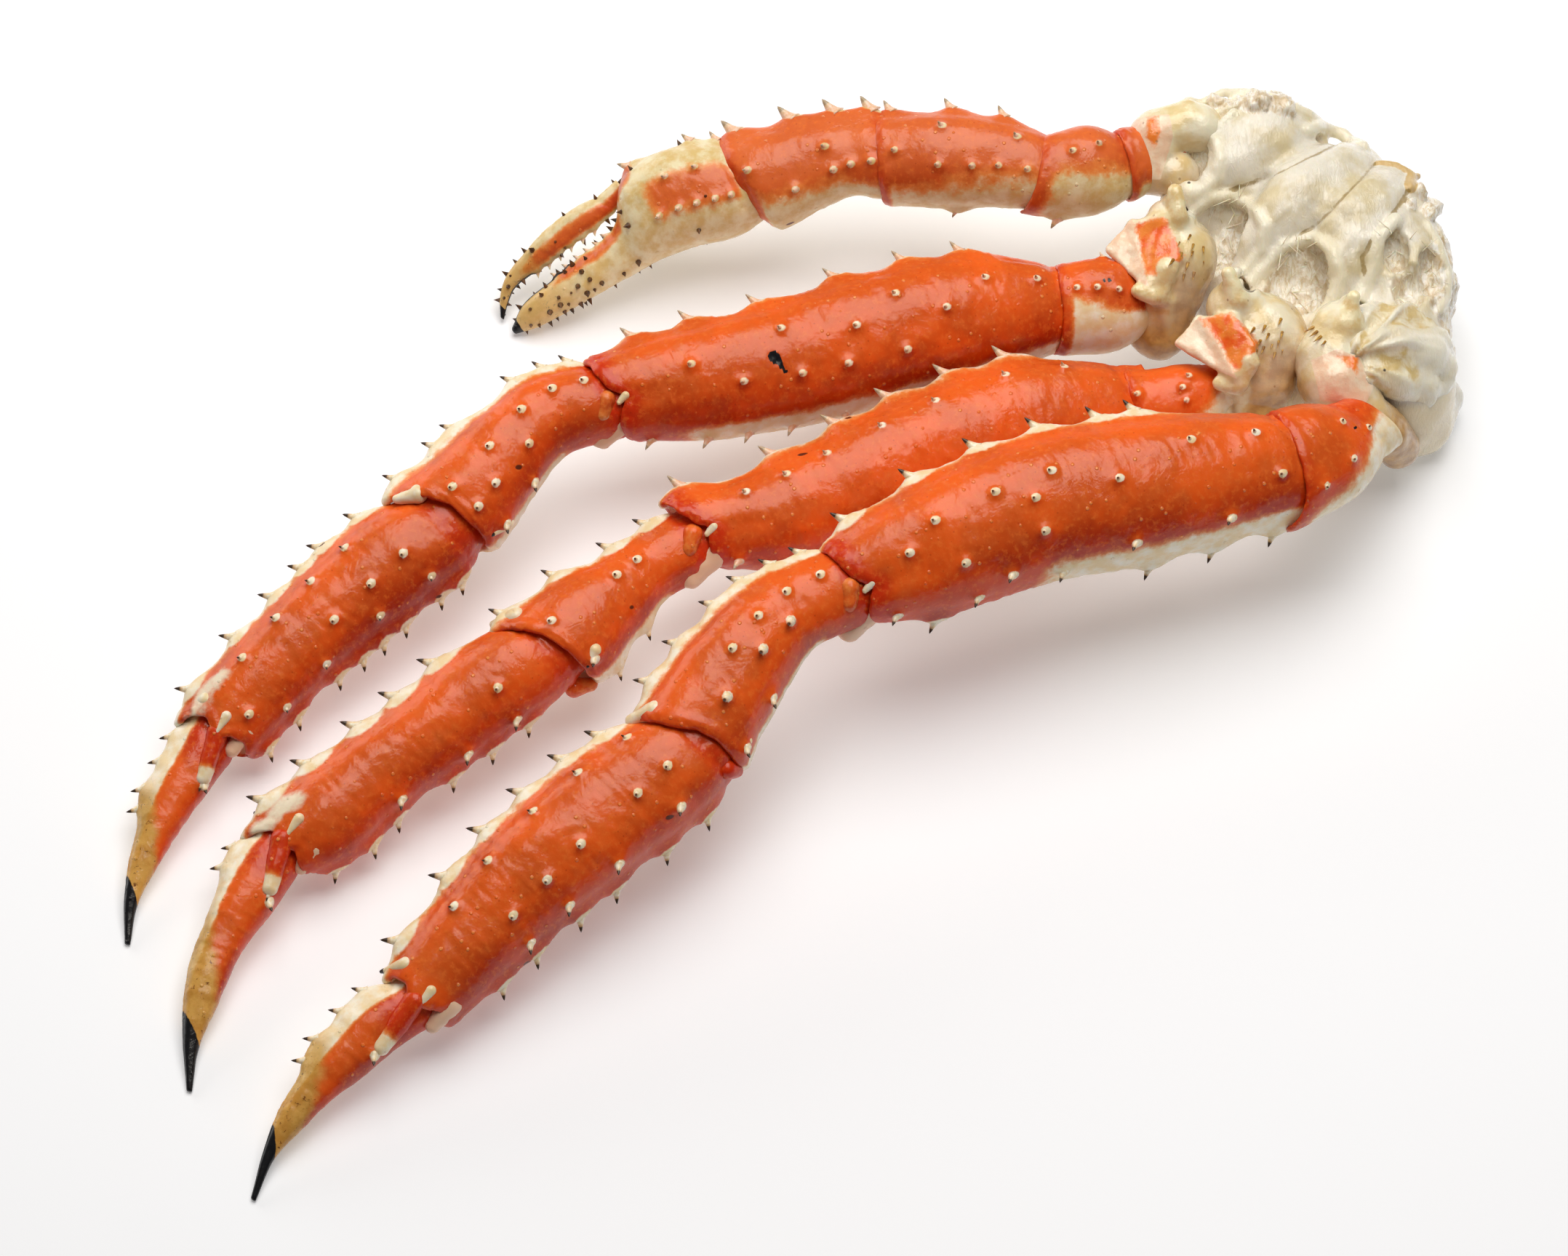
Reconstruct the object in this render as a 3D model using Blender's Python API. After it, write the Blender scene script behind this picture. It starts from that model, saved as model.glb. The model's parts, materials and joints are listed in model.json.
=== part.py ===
"""King crab cluster: three walking legs and the claw arm on one shoulder of the body.

Sizes and places are in millimetres and become metres where a mesh is made. The cluster lies on
its back on a table at z = 0. Its open side faces up and towards -Y, the knees stand clear of the
table, and the tips of the claws and the underside of the shoulder touch it.
"""
import math

import bmesh
import bpy
from mathutils import Matrix, Vector

MM = 0.001
OPEN_SIDE = Vector((0.0, -0.545, 0.839))    # the way the flat of every leg faces, 33 degrees off vertical
JOINT_GAP = 0.5                             # clearance between two pieces of shell at a joint
SIDES = 14                                  # flats around a shell
DEPTH_SHARE = 0.88                          # thickness of a shell over its width
ROUNDNESS = 2.25                            # 2 is an ellipse, more is squarer
SPINE_FOOT = 0.42                           # radius of a spine's foot over its height
SPINE_LEAN = 0.35                           # how far a spine's tip leans to the leg's end, over its height

SHELL_ORANGE = (0.62, 0.11, 0.03, 1.0)
CLAW_ORANGE = (0.62, 0.20, 0.07, 1.0)
MEAT_CREAM = (0.78, 0.70, 0.52, 1.0)

RING_COUNTS = {"coxa": 3, "basis": 1, "ischium": 4, "merus": 9, "carpus": 6, "propodus": 9, "dactylus": 8,
               "palm": 12, "finger": 8}    # steps along each piece of shell

# Each limb has its socket in the shoulder and its joints from hip to tip. Each piece of shell has
# its outer and inner reach from the line between its joints, at shares of its length. "spines"
# holds rows: the angle around the shell where the row starts and ends, the height, and the shares
# of the length where its spines stand. Angle 0 is the outer edge, 90 the open side, 180 the inner edge.
FRONT_LEG = {
    "socket": (168, 77, 46),
    "joints": [(166, 51, 42), (145, 35, 46), (12, -11, 50), (-37, -59, 38), (-116, -136, 15),
               (-162, -191, 0.9)],
    "coxa": [(0, 13, 12), (0.5, 14, 14), (1, 13, 12)],
    "ischium": [(0, 12, 13), (0.5, 16, 19), (1, 17, 18.5)],
    "merus": [(0, 17, 17), (0.2, 23.5, 17), (0.42, 28, 16.5), (0.6, 28, 14.5), (0.8, 23, 15.5),
              (1, 13, 13.5)],
    "carpus": [(0, 11.5, 11.5), (0.3, 19.5, 5), (0.5, 22.3, 7.5), (0.75, 21.3, 12.5), (1, 17, 17)],
    "propodus": [(0, 13, 17), (0.15, 16.5, 17.5), (0.38, 20.5, 14.5), (0.6, 20, 11.5), (0.8, 17.4, 11),
                 (1, 13, 10.5)],
    "dactylus": [(0, 10.5, 8), (0.18, 13.5, 3), (0.4, 13.5, 0), (0.62, 11.3, -2.5), (0.82, 7, -3),
                 (1, 0.9, 0.9)],
    "spines": {
        "ischium": [(75, 110, 3, (0.3, 0.6, 0.85))],
        "merus": [(0, 0, 5.5, (0.27, 0.35, 0.48, 0.62, 0.77, 0.92)),
                  (55, 72, 3.5, (0.08, 0.22, 0.53, 0.66, 0.8)), (78, 84, 3.5, (0.41, 0.59, 0.88)),
                  (97, 108, 3.5, (0.06, 0.6, 0.79)), (128, 140, 4, (0.2, 0.42, 0.7)),
                  (165, 148, 4, (0.58, 0.78, 0.95)), (180, 180, 4.5, (0.08, 0.22, 0.37, 0.88))],
        "carpus": [(0, 0, 5, (0.12, 0.26, 0.4, 0.54, 0.75, 0.88)), (64, 78, 3.5, (0.14, 0.3, 0.46, 0.64)),
                   (104, 92, 4, (0.36, 0.54, 0.8)), (150, 140, 4, (0.62, 0.92))],
        "propodus": [(0, 0, 6, (0.16, 0.27, 0.4, 0.54, 0.7, 0.9)),
                     (28, 56, 3.5, (0.12, 0.28, 0.44, 0.61, 0.76)),
                     (86, 112, 3.5, (0.11, 0.22, 0.42, 0.54, 0.67)),
                     (124, 158, 4, (0.16, 0.38, 0.54, 0.68)),
                     (180, 180, 4.5, (0.1, 0.24, 0.41, 0.53, 0.68, 0.81))],
        "dactylus": [(0, 0, 3, (0.1, 0.21, 0.36, 0.45)), (131, 131, 4, (0.26,))],
    },
}
MIDDLE_LEG = {
    "socket": (147, 94, 40),
    "joints": [(127, 75, 34), (100, 68, 28), (-38, 17, 34), (-84, -21, 30), (-160, -83, 14),
               (-183, -156, 0.9)],
    "coxa": [(0, 13, 15), (0.5, 16, 17), (1, 14, 14)],
    "ischium": [(0, 10.5, 11), (0.5, 11, 15), (1, 15, 15)],
    "merus": [(0, 16, 14), (0.2, 24.3, 13), (0.42, 23.8, 14), (0.62, 19, 16), (0.85, 13.2, 17),
              (1, 13, 12)],
    "carpus": [(0, 8.5, 13), (0.27, 9, 10.5), (0.5, 10, 14), (0.75, 12.2, 18.5), (1, 12.5, 19)],
    "propodus": [(0, 10.5, 16), (0.15, 12.7, 14.7), (0.45, 11.8, 13.3), (0.65, 12.3, 12),
                 (0.85, 12.2, 14.6), (1, 10.5, 12)],
    "dactylus": [(0, 9.5, 8.5), (0.2, 12.4, 4.8), (0.42, 12.6, 0.2), (0.62, 11.7, -1.2), (0.82, 7, -1.8),
                 (1, 0.9, 0.9)],
    "spines": {
        "ischium": [(60, 80, 3, (0.28, 0.5, 0.88))],
        "merus": [(0, 0, 6, (0.22, 0.35, 0.48, 0.61, 0.76, 0.95)),
                  (32, 52, 3.5, (0.12, 0.25, 0.41, 0.54, 0.67, 0.77, 0.86)),
                  (180, 180, 4.5, (0.12, 0.27, 0.45, 0.62, 0.8)), (138, 138, 4, (0.95,))],
        "carpus": [(0, 0, 5, (0.16, 0.38, 0.7, 0.92)), (66, 66, 3.5, (0.33, 0.47, 0.9)),
                   (126, 126, 4, (0.9,)), (180, 180, 4, (0.45, 0.7))],
        "propodus": [(0, 0, 6, (0.26, 0.41, 0.56, 0.74, 0.88)), (94, 94, 3.5, (0.19,)),
                     (154, 140, 4, (0.2, 0.39, 0.64)),
                     (180, 180, 4.5, (0.16, 0.31, 0.46, 0.68, 0.8, 0.95))],
        "dactylus": [(0, 0, 3, (0.07, 0.16)), (141, 141, 4, (0.21,))],
    },
}
REAR_LEG = {
    "socket": (128, 118, 38),
    "joints": [(110, 111, 34), (78, 105, 34), (-64, 64, 40), (-116, 23, 32), (-182, -43, 14),
               (-205, -107, 0.9)],
    "coxa": [(0, 18, 14), (0.5, 21, 16), (1, 16, 14)],
    "ischium": [(0, 10, 8.5), (0.5, 13.7, 16), (1, 13.8, 15)],
    "merus": [(0, 13.5, 13), (0.16, 21.3, 15.3), (0.4, 22.2, 18), (0.6, 18.8, 19), (0.82, 16.8, 17.8),
              (1, 14, 13.5)],
    "carpus": [(0, 12, 12), (0.28, 19.5, 5), (0.5, 19.8, 8.6), (0.75, 18.3, 14.5), (1, 16.3, 16.5)],
    "propodus": [(0, 11.5, 16), (0.17, 16.2, 14.7), (0.4, 16.4, 12.1), (0.65, 15.7, 11),
                 (0.85, 14.4, 11.9), (1, 11.8, 12.4)],
    "dactylus": [(0, 9.5, 8), (0.2, 10.4, 5), (0.4, 10.9, 1.8), (0.6, 9.8, -0.5), (0.82, 6, -1.7),
                 (1, 0.9, 0.9)],
    "spines": {
        "ischium": [(80, 72, 3, (0.68, 0.9))],
        "merus": [(0, 0, 5, (0.18, 0.3, 0.45, 0.62, 0.77, 0.89)), (57, 57, 3.5, (0.05, 0.16, 0.36, 0.61)),
                  (84, 70, 3.5, (0.26, 0.46, 0.82)), (112, 92, 3.5, (0.37, 0.5, 0.6, 0.73)),
                  (164, 164, 4, (0.52, 0.64, 0.74, 0.83, 0.95))],
        "carpus": [(0, 0, 4.5, (0.08, 0.2, 0.34, 0.66, 0.77, 0.92)),
                   (60, 76, 3.5, (0.09, 0.23, 0.4, 0.62, 0.9)), (94, 104, 3.5, (0.46, 0.7, 0.89)),
                   (140, 150, 4, (0.53, 0.77))],
        "propodus": [(0, 0, 5, (0.17, 0.31, 0.4, 0.53, 0.7, 0.89)),
                     (34, 54, 3.5, (0.28, 0.43, 0.59, 0.76)), (90, 106, 3.5, (0.17, 0.31, 0.48, 0.9)),
                     (132, 140, 3.5, (0.15, 0.36, 0.6, 0.8)),
                     (180, 180, 4.5, (0.06, 0.15, 0.3, 0.39, 0.48, 0.58, 0.78, 0.95))],
        "dactylus": [(0, 0, 3, (0.08, 0.2, 0.34, 0.43)), (136, 136, 4, (0.22,))],
    },
}
CLAW_ARM = {
    "socket": (127, 163, 43),
    "joints": [(112, 162, 42), (100, 157, 42), (76, 153, 44), (23, 159, 42), (-22, 156, 34),
               (-97, 120, 2.2)],
    "coxa": [(0, 10, 11), (0.5, 13, 14), (1, 13, 14)],
    "basis": [(0, 11, 11.5), (1, 11.5, 12.5)],
    "ischium": [(0, 11, 12), (0.45, 13.4, 15.6), (1, 11.3, 13.5)],
    "merus": [(0, 11.7, 12.5), (0.35, 15, 13.2), (0.6, 16, 14.3), (1, 13.8, 14.6)],
    "carpus": [(0, 13.4, 13.2), (0.22, 14.2, 9.8), (0.5, 15.2, 12.6), (0.86, 14.6, 17), (1, 13.4, 14)],
    "palm": [(0, 13.5, 14.5), (0.12, 19.5, 13), (0.25, 23.3, 9.5), (0.38, 22, 6.5), (0.46, 11, 5.5),
             (0.54, 8, 5.4), (0.65, 8, 5), (0.8, 7, 4.2), (0.92, 5.6, 3.2), (1, 1.2, 1.2)],
    "spines": {
        "ischium": [(180, 180, 4, (0.8,))],
        "merus": [(0, 0, 4.5, (0.26, 0.57, 0.92)), (52, 52, 3.5, (0.19, 0.62)),
                  (92, 102, 3, (0.13, 0.3, 0.46, 0.65)), (84, 84, 3, (0.9,)), (180, 180, 3.5, (0.55,))],
        "carpus": [(0, 0, 6.5, (0.06, 0.29, 0.56, 0.9)), (70, 79, 3.5, (0.37, 0.9)),
                   (95, 122, 3.5, (0.06, 0.2, 0.34, 0.63))],
        "palm": [(0, 0, 4, (0.04, 0.12, 0.35)), (100, 100, 3, (0.06, 0.2, 0.31))],
    },
}
# The movable finger of the claw hinges on the palm's outer corner.
CLAW_FINGER = {
    "joints": [(-66, 152.8, 25), (-101, 125.5, 2.2)],
    "finger": [(0, 5.5, 3), (0.14, 8, 1.8), (0.36, 9.7, -0.4), (0.6, 9.1, -2.3), (0.8, 8.2, -3.6),
               (0.92, 5, -1.5), (1, 0.9, 0.9)],
}

# The shoulder: rounded cells of the body side by side, as centre, half sizes and turn about Z.
SHOULDER_CELLS = [
    ((143, 166, 28), (28, 23, 28), 20),
    ((160, 142, 27), (36, 17, 29), 42),
    ((177, 128, 27), (33, 18, 28), 52),
    ((190, 116, 25), (16, 34, 26), -4),
    ((184, 88, 24), (21, 22, 25), 0),
    ((188, 78, 17), (16, 13, 18), 0),
    ((162, 120, 20), (40, 48, 22), 0),
]
# The open end of each cell, where the meat shows.
CHAMBERS = [((124, 146, 60), (12, 10, 9)), ((134, 120, 59), (13, 13, 9)), ((157, 102, 58), (15, 13, 9)),
            ((188, 107, 56), (12, 13, 9))]
SHOULDER_VOXEL = 6.4
SOCKET_CLEARANCE = 0.6


def smooth_reading(stations, share, column):
    """Reads one column of a station list at a share, on a smooth curve through its stations."""
    shares = [station[0] for station in stations]
    values = [station[column] for station in stations]
    last = len(shares) - 1
    slopes = []
    for i in range(last + 1):
        before, after = max(i - 1, 0), min(i + 1, last)
        slopes.append((values[after] - values[before]) / (shares[after] - shares[before]))
    i = max(k for k in range(last) if shares[k] <= share or k == 0)
    span = shares[i + 1] - shares[i]
    u = (share - shares[i]) / span
    start = values[i] * (1 + 2 * u) * (1 - u) ** 2 + slopes[i] * span * u * (1 - u) ** 2
    end = values[i + 1] * (3 - 2 * u) * u ** 2 - slopes[i + 1] * span * u ** 2 * (1 - u)
    return start + end


def rounded(cosine):
    """Turns a cosine or sine into the squarer curve of a shell's section."""
    return math.copysign(abs(cosine) ** (2 / ROUNDNESS), cosine)


def shell_section(start, end, planes, stations, share):
    """The points of one ring around a shell, laid in a plane between those of its two joints."""
    axis = (end - start).normalized()
    outer = axis.cross(OPEN_SIDE).normalized()
    face = outer.cross(axis)
    plane = planes[0].lerp(planes[1], share).normalized()
    centre = start.lerp(end, share)
    reach_out = smooth_reading(stations, share, 1)
    reach_in = smooth_reading(stations, share, 2)
    middle, half = (reach_out - reach_in) / 2, (reach_out + reach_in) / 2
    points = []
    for side in range(SIDES):
        turn = 2 * math.pi * side / SIDES
        across = outer * (middle + half * rounded(math.cos(turn)))
        offset = across + face * (half * DEPTH_SHARE * rounded(math.sin(turn)))
        points.append(centre + offset - axis * (offset.dot(plane) / axis.dot(plane)))
    return points


def raise_spine(bm, quad, along, around, height, outward, axis):
    """Raises a four-sided spine out of one quad of a shell, so that the shell stays one body."""
    near_left, near_right, far_right, far_left = [vert.co.copy() for vert in quad.verts]
    foot = height * SPINE_FOOT

    def on_quad(u, v):
        return near_left.lerp(far_left, u).lerp(near_right.lerp(far_right, u), v)

    half_u = min(foot / (far_left - near_left).length, 0.35)
    half_v = min(foot / (near_right - near_left).length, 0.35)
    u = min(max(along, half_u + 0.08), 0.92 - half_u)
    v = min(max(around, half_v + 0.08), 0.92 - half_v)
    corners = list(quad.verts)
    steps = ((-1, -1), (-1, 1), (1, 1), (1, -1))
    foot_verts = [bm.verts.new(on_quad(u + half_u * i, v + half_v * j)) for i, j in steps]
    tip = bm.verts.new(on_quad(u, v) + outward * height + axis * (height * SPINE_LEAN))
    bm.faces.remove(quad)
    for i in range(4):
        j = (i + 1) % 4
        bm.faces.new((corners[i], corners[j], foot_verts[j], foot_verts[i]))
        bm.faces.new((foot_verts[i], foot_verts[j], tip))


def build_shell(start, end, planes, stations, count, spines=()):
    """A closed shell between two joints, with its spines raised out of its sides."""
    bm = bmesh.new()
    axis = (end - start).normalized()
    rings = []
    for i in range(count + 1):
        points = shell_section(start, end, planes, stations, i / count)
        rings.append([bm.verts.new(point) for point in points])
    quads = {}
    for i in range(count):
        for j in range(SIDES):
            k = (j + 1) % SIDES
            quads[i, j] = bm.faces.new((rings[i][j], rings[i][k], rings[i + 1][k], rings[i + 1][j]))
    bm.faces.new(rings[0])
    bm.faces.new(rings[-1])
    for first_angle, last_angle, height, shares in spines:
        for share in shares:
            angle = first_angle + (last_angle - first_angle) * share
            i = min(int(share * count), count - 1)
            j = int(angle / 360 * SIDES) % SIDES
            quad = quads.pop((i, j), None)
            if quad:
                middle = sum((vert.co for vert in rings[i] + rings[i + 1]), Vector()) / (2 * SIDES)
                outward = (quad.calc_center_median() - middle).normalized()
                outward = (outward - axis * outward.dot(axis)).normalized()
                around = angle / 360 * SIDES - j
                raise_spine(bm, quad, share * count - i, around, height, outward, axis)
    bmesh.ops.recalc_face_normals(bm, faces=bm.faces)
    return bm


def material(name, colour, roughness):
    """One plain finish."""
    made = bpy.data.materials.new(name)
    made.use_nodes = True
    surface = made.node_tree.nodes["Principled BSDF"]
    surface.inputs["Base Color"].default_value = colour
    surface.inputs["Roughness"].default_value = roughness
    return made


def add_object(name, bm, finish):
    """Puts a mesh made in millimetres into the scene in metres."""
    bmesh.ops.scale(bm, vec=(MM, MM, MM), verts=bm.verts)
    mesh = bpy.data.meshes.new(name)
    bm.to_mesh(mesh)
    bm.free()
    if finish:
        mesh.materials.append(finish)
    obj = bpy.data.objects.new(name, mesh)
    bpy.context.scene.collection.objects.link(obj)
    return obj


def joint_planes(joints):
    """The plane in which two neighbouring pieces meet, at each joint of a limb."""
    planes = []
    for i, joint in enumerate(joints):
        before = joints[max(i - 1, 0)]
        after = joints[min(i + 1, len(joints) - 1)]
        into = (joint - before).normalized() if i > 0 else Vector()
        onward = (after - joint).normalized() if i < len(joints) - 1 else Vector()
        planes.append((into + onward).normalized())
    return planes


def build_limb(name, limb, pieces, finish):
    """Every piece of shell along one limb, each a body of its own with a gap at its joints."""
    joints = [Vector(limb["socket"])] + [Vector(joint) for joint in limb["joints"]]
    planes = joint_planes(joints)
    for i, piece in enumerate(pieces):
        axis = (joints[i + 1] - joints[i]).normalized()
        start = joints[i] + axis * (JOINT_GAP / 2)
        end = joints[i + 1] - axis * (JOINT_GAP / 2)
        spines = limb["spines"].get(piece, ())
        bm = build_shell(start, end, planes[i:i + 2], limb[piece], RING_COUNTS[piece], spines)
        add_object(f"{name}_{piece}", bm, finish)


def ellipsoid(bm, centre, radii, turn=0.0):
    """Adds one rounded lump to a mesh."""
    place = Matrix.Translation(Vector(centre)) @ Matrix.Rotation(math.radians(turn), 4, "Z")
    bmesh.ops.create_icosphere(bm, subdivisions=3, radius=1.0, matrix=place @ Matrix.Diagonal((*radii, 1.0)))


def cutter(name, bm):
    """A hidden shape that another object is cut with."""
    obj = add_object(name, bm, None)
    obj.hide_render = True
    obj.display_type = "WIRE"
    return obj


def socket_cutter(name, limb):
    """The room that a limb's first piece needs in the shoulder."""
    socket, hip, after = Vector(limb["socket"]), Vector(limb["joints"][0]), Vector(limb["joints"][1])
    axis = (hip - socket).normalized()
    planes = joint_planes([socket, hip, after])
    wider = [(share, out + SOCKET_CLEARANCE, inn + SOCKET_CLEARANCE) for share, out, inn in limb["coxa"]]
    start, end = socket - axis * SOCKET_CLEARANCE, hip + axis * SOCKET_CLEARANCE
    return cutter(name, build_shell(start, end, planes[0:2], wider, RING_COUNTS["coxa"]))


def build_shoulder(limbs, finish):
    """The body's shoulder: cells fused into one mass, open chambers, limb sockets, a flat underside."""
    bm = bmesh.new()
    for centre, radii, turn in SHOULDER_CELLS:
        ellipsoid(bm, centre, radii, turn)
    shoulder = add_object("shoulder", bm, finish)
    fuse = shoulder.modifiers.new("fuse", "REMESH")
    fuse.mode = "VOXEL"
    fuse.voxel_size = SHOULDER_VOXEL * MM
    cutters = [socket_cutter(f"{name}_socket", limb) for name, limb in limbs]
    for i, (centre, radii) in enumerate(CHAMBERS):
        bm = bmesh.new()
        ellipsoid(bm, centre, radii)
        cutters.append(cutter(f"chamber_{i + 1}", bm))
    bm = bmesh.new()
    below = Matrix.Translation((160.0, 120.0, -20.0)) @ Matrix.Diagonal((200.0, 200.0, 40.0, 1.0))
    bmesh.ops.create_cube(bm, size=1.0, matrix=below)
    cutters.append(cutter("table", bm))
    for shape in cutters:
        cut = shoulder.modifiers.new(shape.name, "BOOLEAN")
        cut.object = shape
        cut.operation = "DIFFERENCE"
        cut.solver = "EXACT"


def main():
    for obj in list(bpy.data.objects):
        bpy.data.objects.remove(obj)
    orange = material("shell", SHELL_ORANGE, 0.35)
    claw_orange = material("claw_shell", CLAW_ORANGE, 0.4)
    meat = material("meat", MEAT_CREAM, 0.5)
    legs = [("front_leg", FRONT_LEG), ("middle_leg", MIDDLE_LEG), ("rear_leg", REAR_LEG)]
    for name, leg in legs:
        build_limb(name, leg, ("coxa", "ischium", "merus", "carpus", "propodus", "dactylus"), orange)
    build_limb("claw_arm", CLAW_ARM, ("coxa", "basis", "ischium", "merus", "carpus", "palm"), claw_orange)
    root, tip = [Vector(joint) for joint in CLAW_FINGER["joints"]]
    planes = joint_planes([root, tip])
    finger = build_shell(root, tip, planes, CLAW_FINGER["finger"], RING_COUNTS["finger"])
    add_object("claw_arm_finger", finger, claw_orange)
    build_shoulder(legs + [("claw_arm", CLAW_ARM)], meat)


main()
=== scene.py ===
import json

import bpy
import numpy as np
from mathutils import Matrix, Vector

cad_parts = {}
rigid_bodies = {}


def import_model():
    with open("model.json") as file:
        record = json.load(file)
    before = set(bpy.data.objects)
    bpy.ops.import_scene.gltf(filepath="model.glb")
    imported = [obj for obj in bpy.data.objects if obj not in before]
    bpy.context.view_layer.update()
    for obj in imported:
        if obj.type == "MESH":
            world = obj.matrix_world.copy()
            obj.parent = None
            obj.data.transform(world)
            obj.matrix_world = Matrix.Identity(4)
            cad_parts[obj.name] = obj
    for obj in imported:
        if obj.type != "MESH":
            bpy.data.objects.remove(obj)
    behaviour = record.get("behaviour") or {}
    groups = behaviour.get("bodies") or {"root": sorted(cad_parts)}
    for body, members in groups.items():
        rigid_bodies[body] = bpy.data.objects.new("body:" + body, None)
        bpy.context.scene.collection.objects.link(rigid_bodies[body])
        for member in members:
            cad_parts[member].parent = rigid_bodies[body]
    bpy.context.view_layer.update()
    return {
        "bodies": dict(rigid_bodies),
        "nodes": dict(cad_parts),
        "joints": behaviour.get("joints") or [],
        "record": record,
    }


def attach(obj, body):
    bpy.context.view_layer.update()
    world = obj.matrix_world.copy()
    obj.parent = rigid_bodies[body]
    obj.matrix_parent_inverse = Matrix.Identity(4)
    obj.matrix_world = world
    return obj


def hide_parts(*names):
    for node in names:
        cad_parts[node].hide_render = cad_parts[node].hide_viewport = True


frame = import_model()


# Walking legs: three legs of hard cooked shell, each a row of tapering tubes that meet in a bent
# row of joints. Each tube is one moulded shell, red-orange on its faces and cream along its edges,
# with a rolled rim at its far end where the next tube slides in. Lengths are in millimetres.
MM = 0.001
OPEN_SIDE = np.array([0.0, -0.545, 0.839])    # the way the flat of every leg faces
DEPTH_SHARE = 0.88                            # thickness of a shell over its width
ROUNDNESS = 2.25                              # 2 is an ellipse, more is squarer
GRAIN = 0.75                                  # spacing of the points on a shell
NECK = 8.0                                    # how far a tube reaches back into the one before it
RIM_ROLL = 11                                 # how many degrees of a rim line are rounded off together
# The rolled rim and the membrane behind it: how far past the joint, its share of the girth and how
# much of it is membrane. A closed tip has only the first two.
RIM_END = [(0.45, 0.965, 0), (0.7, 0.93, 0), (0.65, 0.9, 0), (0.2, 0.875, 0.2), (-0.9, 0.86, 0.6),
           (-2.4, 0.85, 0.9), (-3.4, 0.81, 1), (-3.2, 0.7, 1), (-2.6, 0.45, 1), (-2.1, 0.2, 1),
           (-1.9, 0.03, 1)]
TIP_END = [(0.25, 0.7), (0.4, 0.3)]
FRONT_LEG = {
    "socket": (168, 77, 46), "root": 0.84,
    "joints": [(166, 51, 42), (145, 35, 46), (12, -11, 50), (-37, -59, 38), (-116, -136, 15),
               (-162, -191, 0.9)],
    "ischium": [(0, 12, 13), (0.5, 16, 19), (1, 17, 18.5)],
    "merus": [(0, 17, 17), (0.2, 23.5, 17), (0.42, 28, 16.5), (0.6, 28, 14.5), (0.8, 23, 15.5),
              (1, 13, 13.5)],
    "carpus": [(0, 11.5, 11.5), (0.3, 19.5, 5), (0.5, 22.3, 7.5), (0.75, 21.3, 12.5), (1, 17, 17)],
    "propodus": [(0, 13, 17), (0.15, 16.5, 17.5), (0.38, 20.5, 14.5), (0.6, 20, 11.5), (0.8, 17.4, 11),
                 (1, 13, 10.5)],
    "dactylus": [(0, 10.5, 8), (0.18, 13.5, 3), (0.4, 13.5, 0), (0.62, 11.3, -2.5), (0.82, 7, -3),
                 (1, 0.9, 0.9)],
    "rims": {
        "ischium": [(0, -2), (60, 0), (110, 2), (150, 5), (180, 8)],
        "merus": [(0, 3.5), (60, 3), (84, 1), (98, -3.4), (112, -0.6), (140, 1.8), (165, 0.5), (180, -3)],
        "carpus": [(0, 8), (40, 6), (70, 2.5), (88, -2), (105, -4), (150, -4.5), (180, -6)],
        "propodus": [(0, 0.5), (25, -1.5), (60, -2.5), (78, 1), (90, 3.4), (100, 0), (125, -3), (150, -1),
                     (180, -3)],
    },
    "spines": {
        "ischium": [(72, 72, 3, (0.31,)), (92, 92, 3, (0.03,)), (107, 107, 3, (0.5,)),
                    (118, 118, 3, (0.85,))],
        "merus": [(0, 0, 5.5, (0.27, 0.35, 0.48, 0.62, 0.77, 0.92)),
                  (55, 72, 3.5, (0.08, 0.22, 0.53, 0.66, 0.8)), (78, 84, 3.5, (0.41, 0.59, 0.88)),
                  (97, 108, 3.5, (0.06, 0.6, 0.79)), (128, 140, 4, (0.2, 0.42, 0.7)),
                  (165, 148, 4, (0.58, 0.78, 0.95)), (180, 180, 4.5, (0.08, 0.22, 0.37, 0.88))],
        "carpus": [(0, 0, 5, (0.12, 0.26, 0.4, 0.54, 0.75, 0.88)), (64, 78, 3.5, (0.14, 0.3, 0.46, 0.64)),
                   (104, 92, 4, (0.36, 0.54, 0.8)), (150, 140, 4, (0.62, 0.92))],
        "propodus": [(0, 0, 6, (0.16, 0.27, 0.4, 0.54, 0.7, 0.9)),
                     (28, 56, 3.5, (0.12, 0.28, 0.44, 0.61, 0.76)),
                     (86, 112, 3.5, (0.11, 0.22, 0.42, 0.54, 0.67)),
                     (124, 158, 4, (0.16, 0.38, 0.54, 0.68)),
                     (180, 180, 4.5, (0.1, 0.24, 0.41, 0.53, 0.68, 0.81))],
        "dactylus": [(0, 0, 4.4, (0.1, 0.21, 0.36, 0.45)), (131, 131, 4, (0.26,))],
    },
}
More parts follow.
